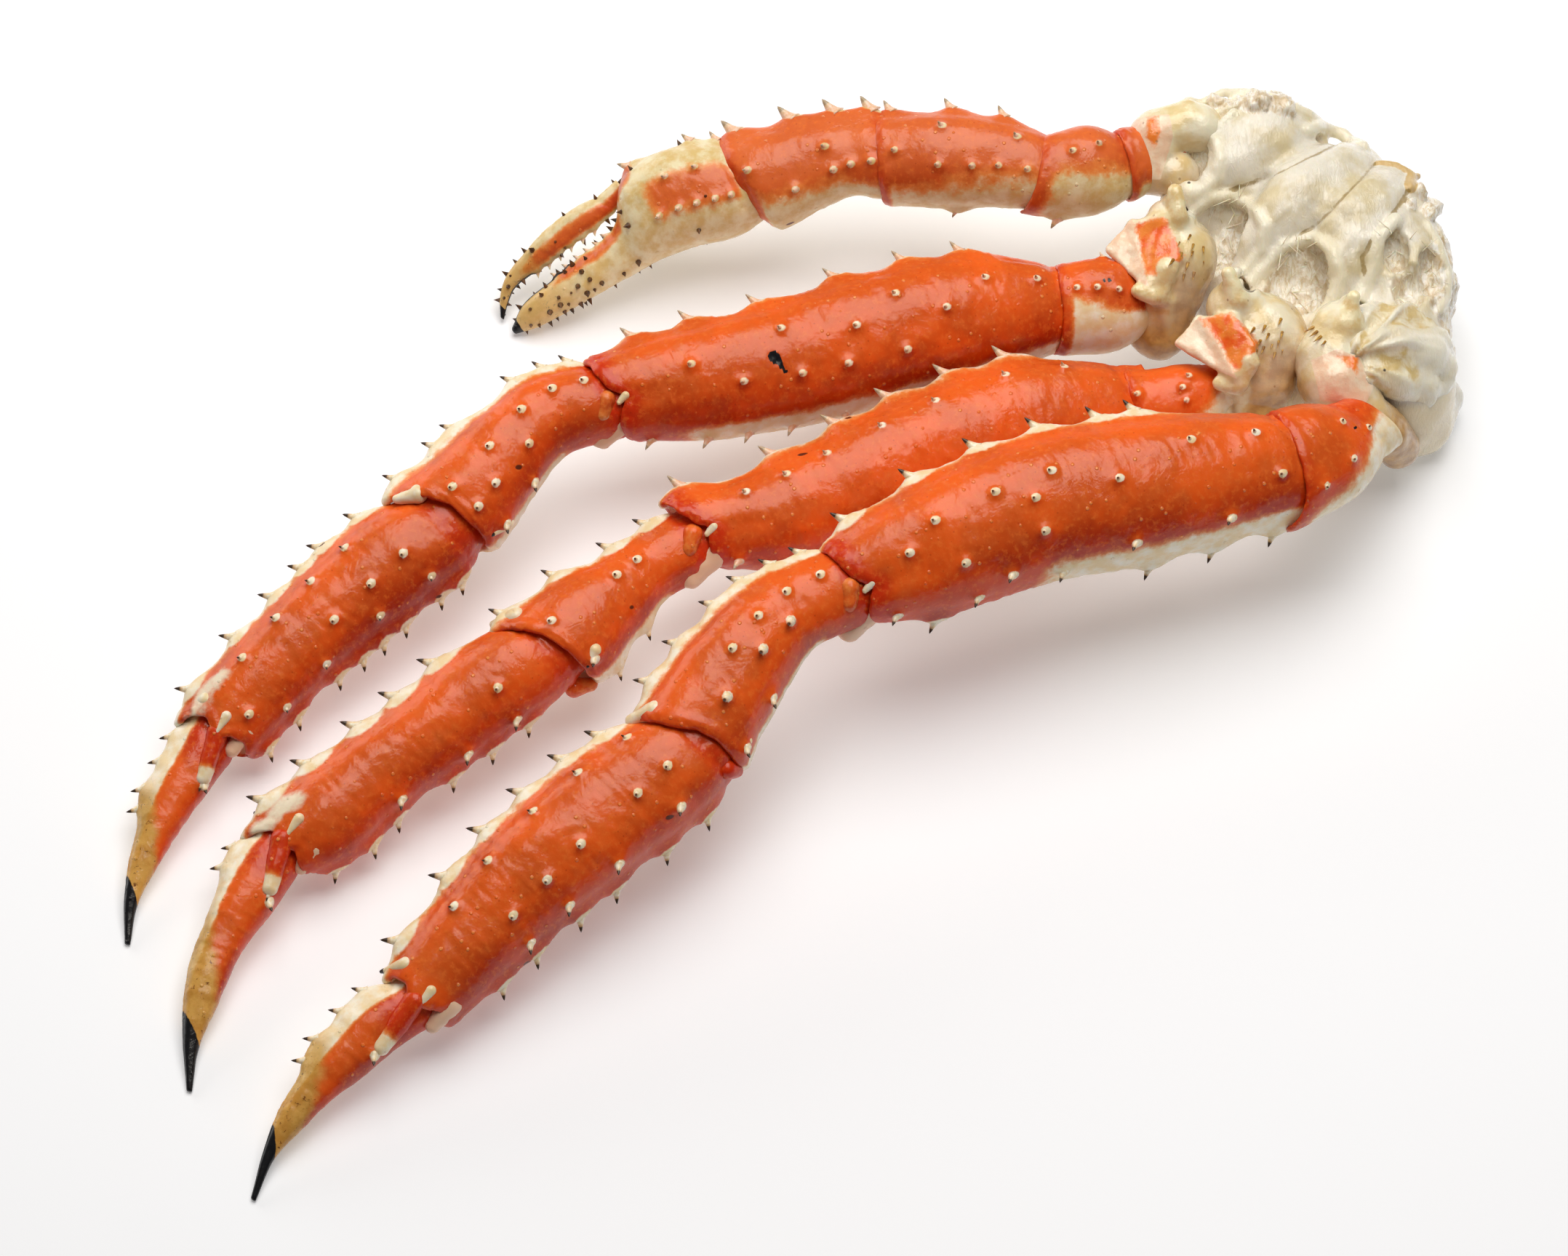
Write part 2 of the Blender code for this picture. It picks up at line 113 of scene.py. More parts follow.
MIDDLE_LEG = {
    "socket": (147, 94, 40), "root": 0.6,
    "joints": [(127, 75, 34), (100, 68, 28), (-38, 17, 34), (-84, -21, 30), (-160, -83, 14),
               (-183, -156, 0.9)],
    "ischium": [(0, 10.5, 11), (0.5, 11, 15), (1, 15, 15)],
    "merus": [(0, 16, 14), (0.2, 24.3, 13), (0.42, 23.8, 14), (0.62, 19, 16), (0.85, 13.2, 17),
              (1, 13, 12)],
    "carpus": [(0, 8.5, 13), (0.27, 9, 10.5), (0.5, 10, 14), (0.75, 12.2, 18.5), (1, 12.5, 19)],
    "propodus": [(0, 10.5, 16), (0.15, 12.7, 14.7), (0.45, 11.8, 13.3), (0.65, 12.3, 12),
                 (0.85, 12.2, 14.6), (1, 10.5, 12)],
    "dactylus": [(0, 9.5, 8.5), (0.2, 12.4, 4.8), (0.42, 12.6, 0.2), (0.62, 11.7, -1.2),
                 (0.82, 7, -1.8), (1, 0.9, 0.9)],
    "rims": {
        "ischium": [(0, -1), (90, 0), (180, 2)],
        "merus": [(0, 3), (50, 1.5), (78, -1.5), (88, -5), (100, -3), (125, -2), (155, -3), (180, -7)],
        "carpus": [(0, 8.5), (40, 3.5), (70, -1.5), (100, -5), (130, -6), (150, -6.5), (180, -10)],
        "propodus": [(0, 3), (30, -1), (55, -3), (76, -0.5), (84, 1.5), (96, -2), (125, 1), (150, 2),
                     (180, -3)],
    },
    "spines": {
        "ischium": [(57, 57, 3, (0.28,)), (72, 72, 3, (0.41, 0.93)), (90, 90, 3, (0.44,))],
        "merus": [(0, 0, 6, (0.22, 0.35, 0.48, 0.61, 0.76, 0.95)),
                  (32, 52, 3.5, (0.12, 0.25, 0.41, 0.54, 0.67, 0.77, 0.86)),
                  (180, 180, 4.5, (0.12, 0.27, 0.45, 0.62, 0.8)), (138, 138, 4, (0.95,))],
        "carpus": [(0, 0, 5, (0.16, 0.38, 0.7, 0.92)), (66, 66, 3.5, (0.33, 0.47, 0.9)),
                   (126, 126, 4, (0.9,)), (180, 180, 4, (0.45, 0.7))],
        "propodus": [(0, 0, 6, (0.26, 0.41, 0.56, 0.74, 0.88)), (94, 94, 3.5, (0.19,)),
                     (154, 140, 4, (0.2, 0.39, 0.64)), (180, 180, 4.5, (0.16, 0.31, 0.46, 0.68, 0.8, 0.95))],
        "dactylus": [(0, 0, 4.4, (0.07, 0.16)), (141, 141, 4, (0.21,))],
    },
}
REAR_LEG = {
    "socket": (128, 118, 38), "root": 0.6,
    "joints": [(110, 111, 34), (78, 105, 34), (-64, 64, 40), (-116, 23, 32), (-182, -43, 14),
               (-205, -107, 0.9)],
    "ischium": [(0, 10, 8.5), (0.5, 13.7, 16), (1, 13.8, 15)],
    "merus": [(0, 13.5, 13), (0.16, 21.3, 15.3), (0.4, 22.2, 18), (0.6, 18.8, 19), (0.82, 16.8, 17.8),
              (1, 14, 13.5)],
    "carpus": [(0, 12, 12), (0.28, 19.5, 5), (0.5, 19.8, 8.6), (0.75, 18.3, 14.5), (1, 16.3, 16.5)],
    "propodus": [(0, 11.5, 16), (0.17, 16.2, 14.7), (0.4, 16.4, 12.1), (0.65, 15.7, 11),
                 (0.85, 14.4, 11.9), (1, 11.8, 12.4)],
    "dactylus": [(0, 9.5, 8), (0.2, 10.4, 5), (0.4, 10.9, 1.8), (0.6, 9.8, -0.5), (0.82, 6, -1.7),
                 (1, 0.9, 0.9)],
    "rims": {
        "ischium": [(0, -2), (90, 0), (180, 4)],
        "merus": [(0, 1), (50, 1.5), (78, 0), (92, -4), (106, -1), (130, 1), (160, 0), (180, -3)],
        "carpus": [(0, 8), (35, 3), (60, -1), (85, -5), (130, -7), (155, -6.5), (180, -9)],
        "propodus": [(0, 3), (30, -1), (60, -2.5), (80, 0), (92, 2.6), (104, -1.5), (130, -2.5),
                     (155, -0.5), (180, -3)],
    },
    "spines": {
        "ischium": [(84, 68, 3, (0.44, 0.64, 0.85)), (12, 12, 3, (0.46,))],
        "merus": [(0, 0, 5, (0.18, 0.3, 0.45, 0.62, 0.77, 0.89)), (57, 57, 3.5, (0.05, 0.16, 0.36, 0.61)),
                  (84, 70, 3.5, (0.26, 0.46, 0.82)), (112, 92, 3.5, (0.37, 0.5, 0.6, 0.73)),
                  (164, 164, 4, (0.52, 0.64, 0.74, 0.83, 0.95))],
        "carpus": [(0, 0, 4.5, (0.08, 0.2, 0.34, 0.66, 0.77, 0.92)),
                   (60, 76, 3.5, (0.09, 0.23, 0.4, 0.62, 0.9)), (94, 104, 3.5, (0.46, 0.7, 0.89)),
                   (140, 150, 4, (0.53, 0.77))],
        "propodus": [(0, 0, 5, (0.17, 0.31, 0.4, 0.53, 0.7, 0.89)),
                     (34, 54, 3.5, (0.28, 0.43, 0.59, 0.76)), (90, 106, 3.5, (0.17, 0.31, 0.48, 0.9)),
                     (132, 140, 3.5, (0.15, 0.36, 0.6, 0.8)),
                     (180, 180, 4.5, (0.06, 0.15, 0.3, 0.39, 0.48, 0.58, 0.78, 0.95))],
        "dactylus": [(0, 0, 4.4, (0.08, 0.2, 0.34, 0.43)), (136, 136, 4, (0.22,))],
    },
}
LEGS = {"front_leg": FRONT_LEG, "middle_leg": MIDDLE_LEG, "rear_leg": REAR_LEG}


def unit(vector):
    return vector / np.linalg.norm(vector, axis=-1, keepdims=True)


def ease(low, high, value):
    """Goes smoothly from 0 at low to 1 at high."""
    t = np.clip((value - low) / (high - low), 0.0, 1.0)
    return t * t * (3 - 2 * t)


def scatter(cells, seed):
    """One fixed random number from 0 to 1 for each whole-numbered cell."""
    mixed = cells[..., 0] * 73856093 ^ cells[..., 1] * 19349663 ^ cells[..., 2] * 83492791 ^ seed * 7919
    mixed = (mixed ^ (mixed >> 13)) * 1274126177
    mixed = (mixed ^ (mixed >> 16)) & 0xFFFFFF
    return mixed / float(0xFFFFFF)


def unevenness(points, size, seed, layers=2):
    """Smooth unevenness from -1 to 1 with lumps of the given size, and finer ones on top."""
    total, weight = 0.0, 0.0
    for layer in range(layers):
        share = 0.5 ** layer
        place = points / (size * share)
        cell = np.floor(place).astype(np.int64)
        f = place - cell
        f = f * f * (3 - 2 * f)
        value = 0.0
        for corner in range(8):
            step = np.array([corner & 1, corner >> 1 & 1, corner >> 2 & 1])
            near = np.prod(np.where(step, f, 1 - f), axis=-1)
            value = value + near * scatter(cell + step, seed + 31 * layer)
        total = total + share * (2 * value - 1)
        weight += share
    return total / weight


def smooth_reading(stations, shares, column):
    """Reads one column of a station list at many shares, on a smooth curve through its stations."""
    at = np.array([station[0] for station in stations], float)
    values = np.array([station[column] for station in stations], float)
    last = len(at) - 1
    before, after = np.maximum(np.arange(last + 1) - 1, 0), np.minimum(np.arange(last + 1) + 1, last)
    slopes = (values[after] - values[before]) / (at[after] - at[before])
    i = np.clip(np.searchsorted(at, shares, side="right") - 1, 0, last - 1)
    span = at[i + 1] - at[i]
    u = np.clip((shares - at[i]) / span, 0, 1)
    start = values[i] * (1 + 2 * u) * (1 - u) ** 2 + slopes[i] * span * u * (1 - u) ** 2
    end = values[i + 1] * (3 - 2 * u) * u ** 2 - slopes[i + 1] * span * u ** 2 * (1 - u)
    return start + end


def rounded(cosine):
    return np.copysign(np.abs(cosine) ** (2 / ROUNDNESS), cosine)


def around(turns, angle, width):
    """1 at an angle of the section and 0 further than a width from it, in degrees."""
    off = np.abs((turns - angle + 180) % 360 - 180)
    return 1 - ease(0, width, off)


def rim_line(rim, turns):
    """How far the rim of a shell stands on past its joint, around the section."""
    fine = np.arange(360)
    angles = [angle for angle, _ in rim] + [230, 270, 310]
    offsets = [offset for _, offset in rim] + [rim[-1][1] * 0.3, 1.0, 0.0]
    line = np.interp(fine, angles, offsets, period=360)
    reach = RIM_ROLL // 2
    line = sum(np.roll(line, shift) for shift in range(-reach, reach + 1)) / RIM_ROLL
    return np.interp(turns, fine, line, period=360)


def joint_planes(joints):
    """The plane in which two neighbouring tubes meet, at each joint of a limb."""
    ways = unit(np.diff(joints, axis=0))
    return [ways[0]] + [unit(into + onward) for into, onward in zip(ways[:-1], ways[1:])] + [ways[-1]]


def new_mesh(name, points, faces, marks):
    """A smooth closed mesh, from millimetres. Its marks, and how far each point faces up, are attributes."""
    mesh = bpy.data.meshes.new(name)
    sizes = [len(group[0]) for group in faces for _ in range(len(group))]
    loops = np.concatenate([np.asarray(group).ravel() for group in faces]).astype(np.int32)
    points = points.copy()
    points[:, 2] = np.maximum(points[:, 2], 0.0)
    mesh.vertices.add(len(points))
    mesh.vertices.foreach_set("co", (points * MM).astype(np.float32).ravel())
    mesh.loops.add(len(loops))
    mesh.loops.foreach_set("vertex_index", loops)
    mesh.polygons.add(len(sizes))
    starts = np.concatenate([[0], np.cumsum(sizes)[:-1]]).astype(np.int32)
    mesh.polygons.foreach_set("loop_start", starts)
    mesh.update(calc_edges=True)
    mesh.polygons.foreach_set("use_smooth", np.ones(len(sizes), bool))
    # How far each point faces up is kept as the up mark, by which the shell finish paints light and shade.
    facing = np.empty(3 * len(points), np.float32)
    mesh.vertex_normals.foreach_get("vector", facing)
    for mark_name, values in {**marks, "up": facing[2::3]}.items():
        layer = mesh.attributes.new(mark_name, "FLOAT", "POINT")
        layer.data.foreach_set("value", np.asarray(values, np.float32).ravel())
    return mesh


def put_piece(name, mesh, finish, slot, *nodes):
    """Adds a finished piece, in place, with its finish, and hides the parts it stands for."""
    piece = bpy.data.objects.new(name, mesh)
    bpy.context.scene.collection.objects.link(piece)
    mesh.materials.append(finish)
    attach(piece, "root")
    if nodes:
        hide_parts(*nodes)
    return piece


def grid_faces(rows, columns):
    """The faces of a tube of points, open around its two ends."""
    index = np.arange(rows * columns).reshape(rows, columns)
    near, far = index[:-1], index[1:]
    quads = np.stack([near, far, np.roll(far, -1, 1), np.roll(near, -1, 1)], -1).reshape(-1, 4)
    return [quads, index[:1], index[-1:, ::-1]]


def surface_normals(grid):
    along = np.gradient(grid, axis=0)
    across = np.roll(grid, -1, 1) - np.roll(grid, 1, 1)
    normal = np.cross(along, across)
    return normal / np.maximum(np.linalg.norm(normal, axis=-1, keepdims=True), 1e-9)


def lay_tube(start, end, planes, stations, rim, closed_tip, root=0.82):
    """The bare form of one tube: its points, the length along it, its angles and what is membrane."""
    length = np.linalg.norm(end - start)
    axis = unit(end - start)
    outer = unit(np.cross(axis, OPEN_SIDE))
    face = np.cross(outer, axis)
    girth = 2 * np.pi * max(sum(station[1:]) / 2 for station in stations)
    columns = int(girth / GRAIN)
    turns = np.arange(columns) * 360.0 / columns
    inward = np.arange(-NECK, 0, GRAIN)
    outward = np.linspace(0, length, int(length / GRAIN) + 1)
    travel = np.concatenate([inward, outward])
    scale = root + (0.95 - root) * ease(-NECK, 0, travel) + 0.05 * ease(0, 5, travel)
    if root < 0.8:
        scale = root + (1 - root) * ease(-NECK, 11, travel)
    skin = np.zeros(len(travel))
    if closed_tip:
        past, share_of_girth = np.array(TIP_END).T
        membrane = np.zeros(len(past))
    else:
        swollen = scale + 0.02 * ease(length - 5, length - 2, travel)
        scale = swollen - 0.03 * ease(length - 1.6, length, travel)
        past, share_of_girth, membrane = np.array(RIM_END).T
    travel = np.concatenate([travel, length + past])
    scale = np.concatenate([scale, share_of_girth])
    skin = np.concatenate([skin, membrane])
    shares = np.clip(travel / length, 0, 1)
    reach_out = smooth_reading(stations, shares, 1)
    reach_in = smooth_reading(stations, shares, 2)
    middle, half = (reach_out - reach_in) / 2, (reach_out + reach_in) / 2 * scale
    angle = np.radians(turns)[None, :]
    across = outer * (middle[:, None] + half[:, None] * rounded(np.cos(angle)))[..., None]
    offset = across + face * (half[:, None] * DEPTH_SHARE * rounded(np.sin(angle)))[..., None]
    plane = unit(planes[0] * (1 - shares[:, None]) + planes[1] * shares[:, None])[:, None, :]
    centre = start + axis * travel[:, None, None]
    slide = (offset * plane).sum(-1) / (plane @ axis)
    if rim:
        slide = slide - rim_line(rim, turns)[None, :] * ease(length * 0.72, length, travel)[:, None]
    grid = centre + offset - axis * slide[..., None]
    return grid, travel, turns, skin[:, None] * np.ones(columns), length, axis


def spine_spots(rows):
    """Every spine of a tube as share of its length, angle and height."""
    for first, last, height, shares in rows:
        for share in shares:
            yield share, first + (last - first) * share, height


def scar_distance(grid, travel, start, ways, places):
    """Distance to a scar on the open face, from how far along and across the tube each of its dots is."""
    axis, outer, face = ways
    dots_of_scar = []
    for along, across in places:
        top = ((grid[np.argmin(np.abs(travel - along))] - start) @ face).max()
        dots_of_scar.append(start + axis * along + outer * across + face * top)
    return np.min([np.linalg.norm(grid - dot, axis=-1) for dot in dots_of_scar], axis=0)


def dress_tube(limb_name, piece, limb, index, rows, crest, paint, spines, closed_tip=False, warm=0.0,
               dark=1.0, scars=()):
    """Makes one shell with the hills its spines stand on, and adds where its spines go to a list."""
    joints = np.array([limb["socket"]] + limb["joints"], float)
    planes = joint_planes(joints)
    start, end = joints[index], joints[index + 1]
    root = limb.get("root", 0.82) if index == 1 else 0.82
    grid, travel, turns, skin, length, axis = lay_tube(start, end, planes[index:index + 2], limb[piece],
                                                       limb["rims"].get(piece), closed_tip, root)
    outer = unit(np.cross(axis, OPEN_SIDE))
    face = np.cross(outer, axis)
    normal = surface_normals(grid)
    hard = 1 - skin
    full = np.ones_like(skin)
    seed = sum(map(ord, limb_name + piece))

    # Broad swells, small ripples, fine folds, and creases across the shell beside its joints.
    near_joint = np.exp(-np.abs(travel) / 7)[:, None] + np.exp(-np.abs(length - travel) / 7)[:, None]
    tip_fade = 1 - 0.85 * ease(length * 0.6, length, travel)[:, None] if closed_tip else 1.0
    height = 0.6 * unevenness(grid, 19.0, seed, 2) + 0.3 * unevenness(grid, 7.0, seed + 1, 3)
    stretched = grid @ np.stack([axis * 1.7, outer * 0.6, face * 0.6]).T
    folds = 1 - np.abs(unevenness(stretched, 5.0, seed + 2, 2))
    height = (height + 0.32 * (folds ** 2 - 0.5) - 0.75 * near_joint * folds ** 4) * tip_fade
    for angle, amount, width in crest:
        height = height + amount * around(turns, angle, width)[None, :] * tip_fade * full
    horn = np.zeros_like(skin)
    for places, width in scars:
        marked = scar_distance(grid, travel, start, (axis, outer, face), places)
        horn = np.maximum(horn, 1 - ease(width * 0.8, width, marked))
        height = height - 0.7 * (1 - ease(0, width, marked))

    # A hill and a cream ring under each spine, longer towards the root, and broad along the two edges.
    halo = np.zeros_like(skin)
    spots = []
    for share, angle, tall in spine_spots(rows):
        i = int(np.clip(np.searchsorted(travel[:len(travel) - 10], share * length), 1, len(travel) - 12))
        j = int(round(angle / 360 * len(turns))) % len(turns)
        apart = grid - grid[i, j]
        along = apart @ axis
        edge = angle in (0, 180)
        back = np.where(along < 0, 2.1, 1.25) if edge else np.where(along < 0, 1.3, 1.0)
        flat = np.sqrt(np.maximum((apart ** 2).sum(-1) - along ** 2, 0) + (along / back) ** 2)
        hill = np.exp(-(flat / ((0.72 if edge else 0.5) * tall)) ** 2)
        height = height + (0.5 if edge else 0.36) * tall * hill
        ring = ({0: 0.8, 180: 0.55}.get(angle, 0.4) if not warm else 0.4) * tall
        halo = np.maximum(halo, np.exp(-(flat / ring) ** 4))
        spots.append((i, j, tall))
    raised = grid + normal * (height * hard)[..., None]
    for i, j, tall in spots:
        big = tall > 3.9
        foot = raised[i, j] - normal[i, j] * 0.3 * tall
        aim = unit(normal[i, j] + axis * (0.7 if big else 0.5))
        spines.append((foot, aim, tall * (1.06 if big else 0.78), dark, warm))

    share = (travel / length)[:, None] * full
    marks = paint(share, turns[None, :] * full, travel[:, None] * full, length)
    marks["halo"] = halo * hard * (1 - 0.75 * warm)
    marks["skin"] = skin
    marks["horn"] = np.maximum(marks.get("horn", 0.0), horn)
    name = f"{limb_name}_{piece}"
    return new_mesh(name + "_shell", raised.reshape(-1, 3), grid_faces(*skin.shape), marks), name


def strip(turns, angle, half_width):
    """1 in a band of the section around an angle, with soft edges."""
    off = np.abs((turns - angle + 180) % 360 - 180)
    return 1 - ease(half_width - 13, half_width + 13, off)


def leg_paint(outer, inner, reach, red_start, red_end, scuff=0.0):
    """Where a leg tube is cream along its edges and deeper red at its joints."""
    def paint(share, turns, travel, length):
        outer_band = strip(turns, 0, outer) * ease(0.02, 0.14, share)
        low, high = reach
        within_reach = ease(low - 0.12, low + 0.02, share) * (1 - ease(high - 0.14, high, share))
        inner_band = strip(turns, 184, inner) * within_reach
        cream = np.maximum(np.maximum(outer_band, inner_band), 0.8 * around(turns, 270, 84))
        red_ends = red_start * (1 - ease(0, 10, travel)), red_end * ease(length - 12, length - 1, travel)
        red = np.maximum(*red_ends)
        white = scuff * around(turns, 36, 40) * ease(length - 24, length - 13, travel)
        return {"cream": cream, "red": np.clip(red, 0, 1), "scuff": white}
    return paint


def arm_paint(cream_from, cream_to, soft=18):
    """Orange above, cream below from an angle that shifts along the tube."""
    def paint(share, turns, travel, length):
        edge = cream_from + (cream_to - cream_from) * share
        under = ease(-soft, soft, turns - edge) * (1 - ease(330, 350, turns))
        under = under * (1 - 0.8 * ease(length - 4, length - 1, travel))
        red = 0.6 * (1 - ease(0, 9, travel)) + 0.6 * ease(length - 8, length, travel)
        return {"cream": 0.95 * under, "red": red * (1 - under)}
    return paint


def dactyl_paint(share, turns, travel, length):
    """A claw: cream outer edge, red inner side, horn-brown further on and black at the tip."""
    slope = np.cos(np.radians(turns))
    cream = strip(turns, 0, 52) * (1 - ease(0.5, 0.75, share))
    cream = np.maximum(cream, 0.8 * around(turns, 270, 80))
    tan = ease(0.3, 0.68, share + 0.16 * slope)
    horn = ease(0.74, 0.82, share + 0.05 * slope)
    return {"cream": cream, "red": 0.8 * (1 - ease(0.0, 0.4, share)), "tan": tan, "horn": horn}


def srgb(red, green, blue):
    """A finish colour given as a screen colour from 0 to 255."""
    values = [channel / 255 for channel in (red, green, blue)]
    return tuple(v / 12.92 if v <= 0.04045 else ((v + 0.055) / 1.055) ** 2.4 for v in values) + (1.0,)


def wire(tree, socket, value):
    """Puts a value or another node's output into a socket."""
    if isinstance(value, bpy.types.NodeSocket):
        tree.links.new(value, socket)
    else:
        socket.default_value = value


def add_node(tree, kind, sockets, **settings):
    """A node with its settings made and its sockets filled, by name or by number."""
    node = tree.nodes.new(kind)
    for setting, value in settings.items():
        setattr(node, setting, value)
    for socket, value in sockets.items():
        wire(tree, node.inputs[socket], value)
    return node


def new_finish(name, plain):
    """A new material, with its plain values on the shader's own sockets."""
    finish = bpy.data.materials.new(name)
    finish.use_nodes = True
    surface = finish.node_tree.nodes["Principled BSDF"]
    for socket, value in plain.items():
        surface.inputs[socket].default_value = value
    return finish, finish.node_tree, surface


def mark(tree, name):
    return add_node(tree, "ShaderNodeAttribute", {}, attribute_name=name).outputs["Fac"]


EVEN = (1.0, 1.0, 1.0)


def own_place(tree, shift, squash):
    """Where a point is on its own piece, moved sideways and squashed for a texture."""
    place = add_node(tree, "ShaderNodeTexCoord", {}).outputs["Object"]
    if not shift and squash == EVEN:
        return place
    moved = {"Vector": place, "Location": (shift, shift, 0.0), "Scale": squash}
    return add_node(tree, "ShaderNodeMapping", moved).outputs["Vector"]


def grain(tree, size, detail=3.0, rough=0.55, twist=0.0, squash=EVEN):
    """Noise whose lumps have the given size in millimetres."""
    noise = {"Vector": own_place(tree, 0.0, squash), "Scale": 1 / (size * MM), "Detail": detail,
             "Roughness": rough, "Distortion": twist}
    return add_node(tree, "ShaderNodeTexNoise", noise).outputs["Fac"]


def dots(tree, size, shift=0.0, squash=EVEN):
    """Distance from the nearest of scattered points that lie about a size apart."""
    cells = {"Vector": own_place(tree, shift, squash), "Scale": 1 / (size * MM), "Randomness": 1.0}
    return add_node(tree, "ShaderNodeTexVoronoi", cells).outputs["Distance"]


def span(tree, value, low, high, out_low=0.0, out_high=1.0):
    """Eases a value from low..high to out_low..out_high."""
    ends = {"Value": value, "From Min": low, "From Max": high, "To Min": out_low, "To Max": out_high}
    return add_node(tree, "ShaderNodeMapRange", ends, interpolation_type="SMOOTHSTEP").outputs["Result"]


def combine(tree, how, first, second):
    return add_node(tree, "ShaderNodeMath", {0: first, 1: second}, operation=how).outputs[0]


def times(tree, first, second):
    return combine(tree, "MULTIPLY", first, second)


def tint(tree, amount, under, over):
    """Lays one colour over another by an amount."""
    layers = {"Factor": amount, "A": under, "B": over}
    return add_node(tree, "ShaderNodeMix", layers, data_type="RGBA").outputs["Result"]


def shaken(tree, value, noise, spread):
    """A value moved up and down by noise."""
    return combine(tree, "ADD", value, times(tree, combine(tree, "SUBTRACT", noise, 0.5), spread))


def ragged(tree, name, noise, spread=0.5, low=0.42, high=0.6):
    """A mark whose border is broken up by noise."""
    return span(tree, shaken(tree, mark(tree, name), noise, spread), low, high)


def bump(tree, surface, height, distance, strength, into="Normal", before=None):
    """Raises the surface, or only its wet film, by a distance in millimetres, over an earlier bump."""
    sockets = {"Strength": strength, "Distance": distance * MM, "Height": height}
    if before:
        sockets["Normal"] = before
    raised = add_node(tree, "ShaderNodeBump", sockets).outputs["Normal"]
    tree.links.new(raised, surface.inputs[into])
    return raised


ORANGE = srgb(230, 74, 8)
# The deep orange is both random mottling and painted shade; the pale orange is painted light.
DEEP_AND_SHADE_ORANGE = srgb(182, 42, 2)
PAINTED_LIGHT_ORANGE = srgb(248, 118, 38)
JOINT_RED = srgb(204, 40, 2)
CREAM = srgb(252, 244, 226)
WARM_CREAM = srgb(242, 216, 168)
SPECK = srgb(248, 152, 78)
SKIN_PINK = srgb(242, 202, 172)
HORN_TAN = srgb(196, 146, 64)
HORN_BROWN = srgb(92, 58, 22)
HORN_BLACK = srgb(22, 22, 26)


def shell_finish(name, base=ORANGE, deep_and_painted_shade=DEEP_AND_SHADE_ORANGE, painted_light=PAINTED_LIGHT_ORANGE, creams=(WARM_CREAM, CREAM)):
    """Wet cooked shell: mottled red-orange, with painted light that makes it paler where it faces up and
    painted shade that makes it deeper where it faces down, with pale specks, cream edges and a film of water."""
    finish, tree, surface = new_finish(name, {
        "Subsurface Weight": 0.12, "Subsurface Radius": (1.0, 0.35, 0.15), "Subsurface Scale": 0.003,
        "Coat Weight": 0.42, "Coat Roughness": 0.02, "Coat IOR": 1.6, "Specular IOR Level": 0.15})
    broad = grain(tree, 22, 3)
    middling = grain(tree, 5.5, 4, 0.6)
    fine = grain(tree, 1.6, 4, 0.6)

    # Flesh of the shell: mottled deeper, painted shade where it faces down, painted light where it faces up,
    # deep red at the joints, with pores and pale specks.
    colour = tint(tree, span(tree, broad, 0.38, 0.62), base, deep_and_painted_shade)
    # Painted shade on faces that look down, then painted light on faces that look up, read from the up mark.
    colour = tint(tree, span(tree, mark(tree, "up"), 0.8, 0.0, 0, 0.35), colour, deep_and_painted_shade)
    colour = tint(tree, span(tree, mark(tree, "up"), 0.45, 0.95, 0, 0.5), colour, painted_light)
    colour = tint(tree, span(tree, middling, 0.45, 0.8, 0, 0.15), colour, SPECK)
    colour = tint(tree, times(tree, ragged(tree, "red", middling, 0.7, 0.3, 0.9), 0.85), colour, JOINT_RED)
    colour = tint(tree, span(tree, fine, 0.48, 0.72, 0, 0.4), colour, srgb(244, 128, 48))
    pores = times(tree, span(tree, dots(tree, 2.4, 0.007), 0.16, 0.06), 0.4)
    colour = tint(tree, pores, colour, srgb(164, 36, 4))
    pale = span(tree, dots(tree, 4.6), 0.15, 0.07)
    colour = tint(tree, times(tree, pale, span(tree, broad, 0.4, 0.6, 0.25, 0.8)), colour, SPECK)

    # Cream edges and rings under the spines, with an orange-yellow border.
    edge = shaken(tree, shaken(tree, mark(tree, "cream"), middling, 0.8), fine, 0.35)
    colour = tint(tree, span(tree, edge, 0.15, 0.65, 0, 0.7), colour, srgb(244, 158, 78))
    rings = ragged(tree, "halo", fine, 0.25, 0.3, 0.6)
    creamy = combine(tree, "MAXIMUM", span(tree, edge, 0.45, 0.85), rings)
    colour = tint(tree, creamy, colour, tint(tree, span(tree, middling, 0.35, 0.7), *creams))

    # Tan horn, scuffs, nicks, black horn and the skin of the joints.
    tan = tint(tree, span(tree, middling, 0.35, 0.65), HORN_TAN, srgb(222, 176, 92))
    tan = tint(tree, span(tree, grain(tree, 1.6, 4, 0.7, 0.5), 0.6, 0.68), tan, HORN_BROWN)
    colour = tint(tree, times(tree, ragged(tree, "tan", middling, 0.5, 0.3, 0.75), 0.9), colour, tan)
    colour = tint(tree, ragged(tree, "scuff", middling, 1.3, 0.4, 0.95), colour, srgb(238, 222, 196))
    nicks = span(tree, dots(tree, 17.0, 0.013, (0.4, 0.8, 1.0)), 0.05, 0.035)
    colour = tint(tree, nicks, colour, srgb(96, 36, 12))
    colour = tint(tree, ragged(tree, "horn", fine, 0.3, 0.4, 0.55), colour, HORN_BLACK)
    colour = tint(tree, ragged(tree, "skin", fine, 0.3, 0.3, 0.7), colour, SKIN_PINK)
    wire(tree, surface.inputs["Base Color"], colour)
    wire(tree, surface.inputs["Roughness"], span(tree, fine, 0.3, 0.7, 0.34, 0.5))
    pimples = bump(tree, surface, pale, 0.25, 0.8)
    bump(tree, surface, fine, 0.14, 0.7, "Normal", pimples)
    ripples = bump(tree, surface, grain(tree, 2.2, 4, 0.65, 1.0), 0.2, 0.7, "Coat Normal", pimples)
    bump(tree, surface, grain(tree, 8.0, 3, 0.6, 0.8), 0.7, 0.7, "Coat Normal", ripples)
    return finish


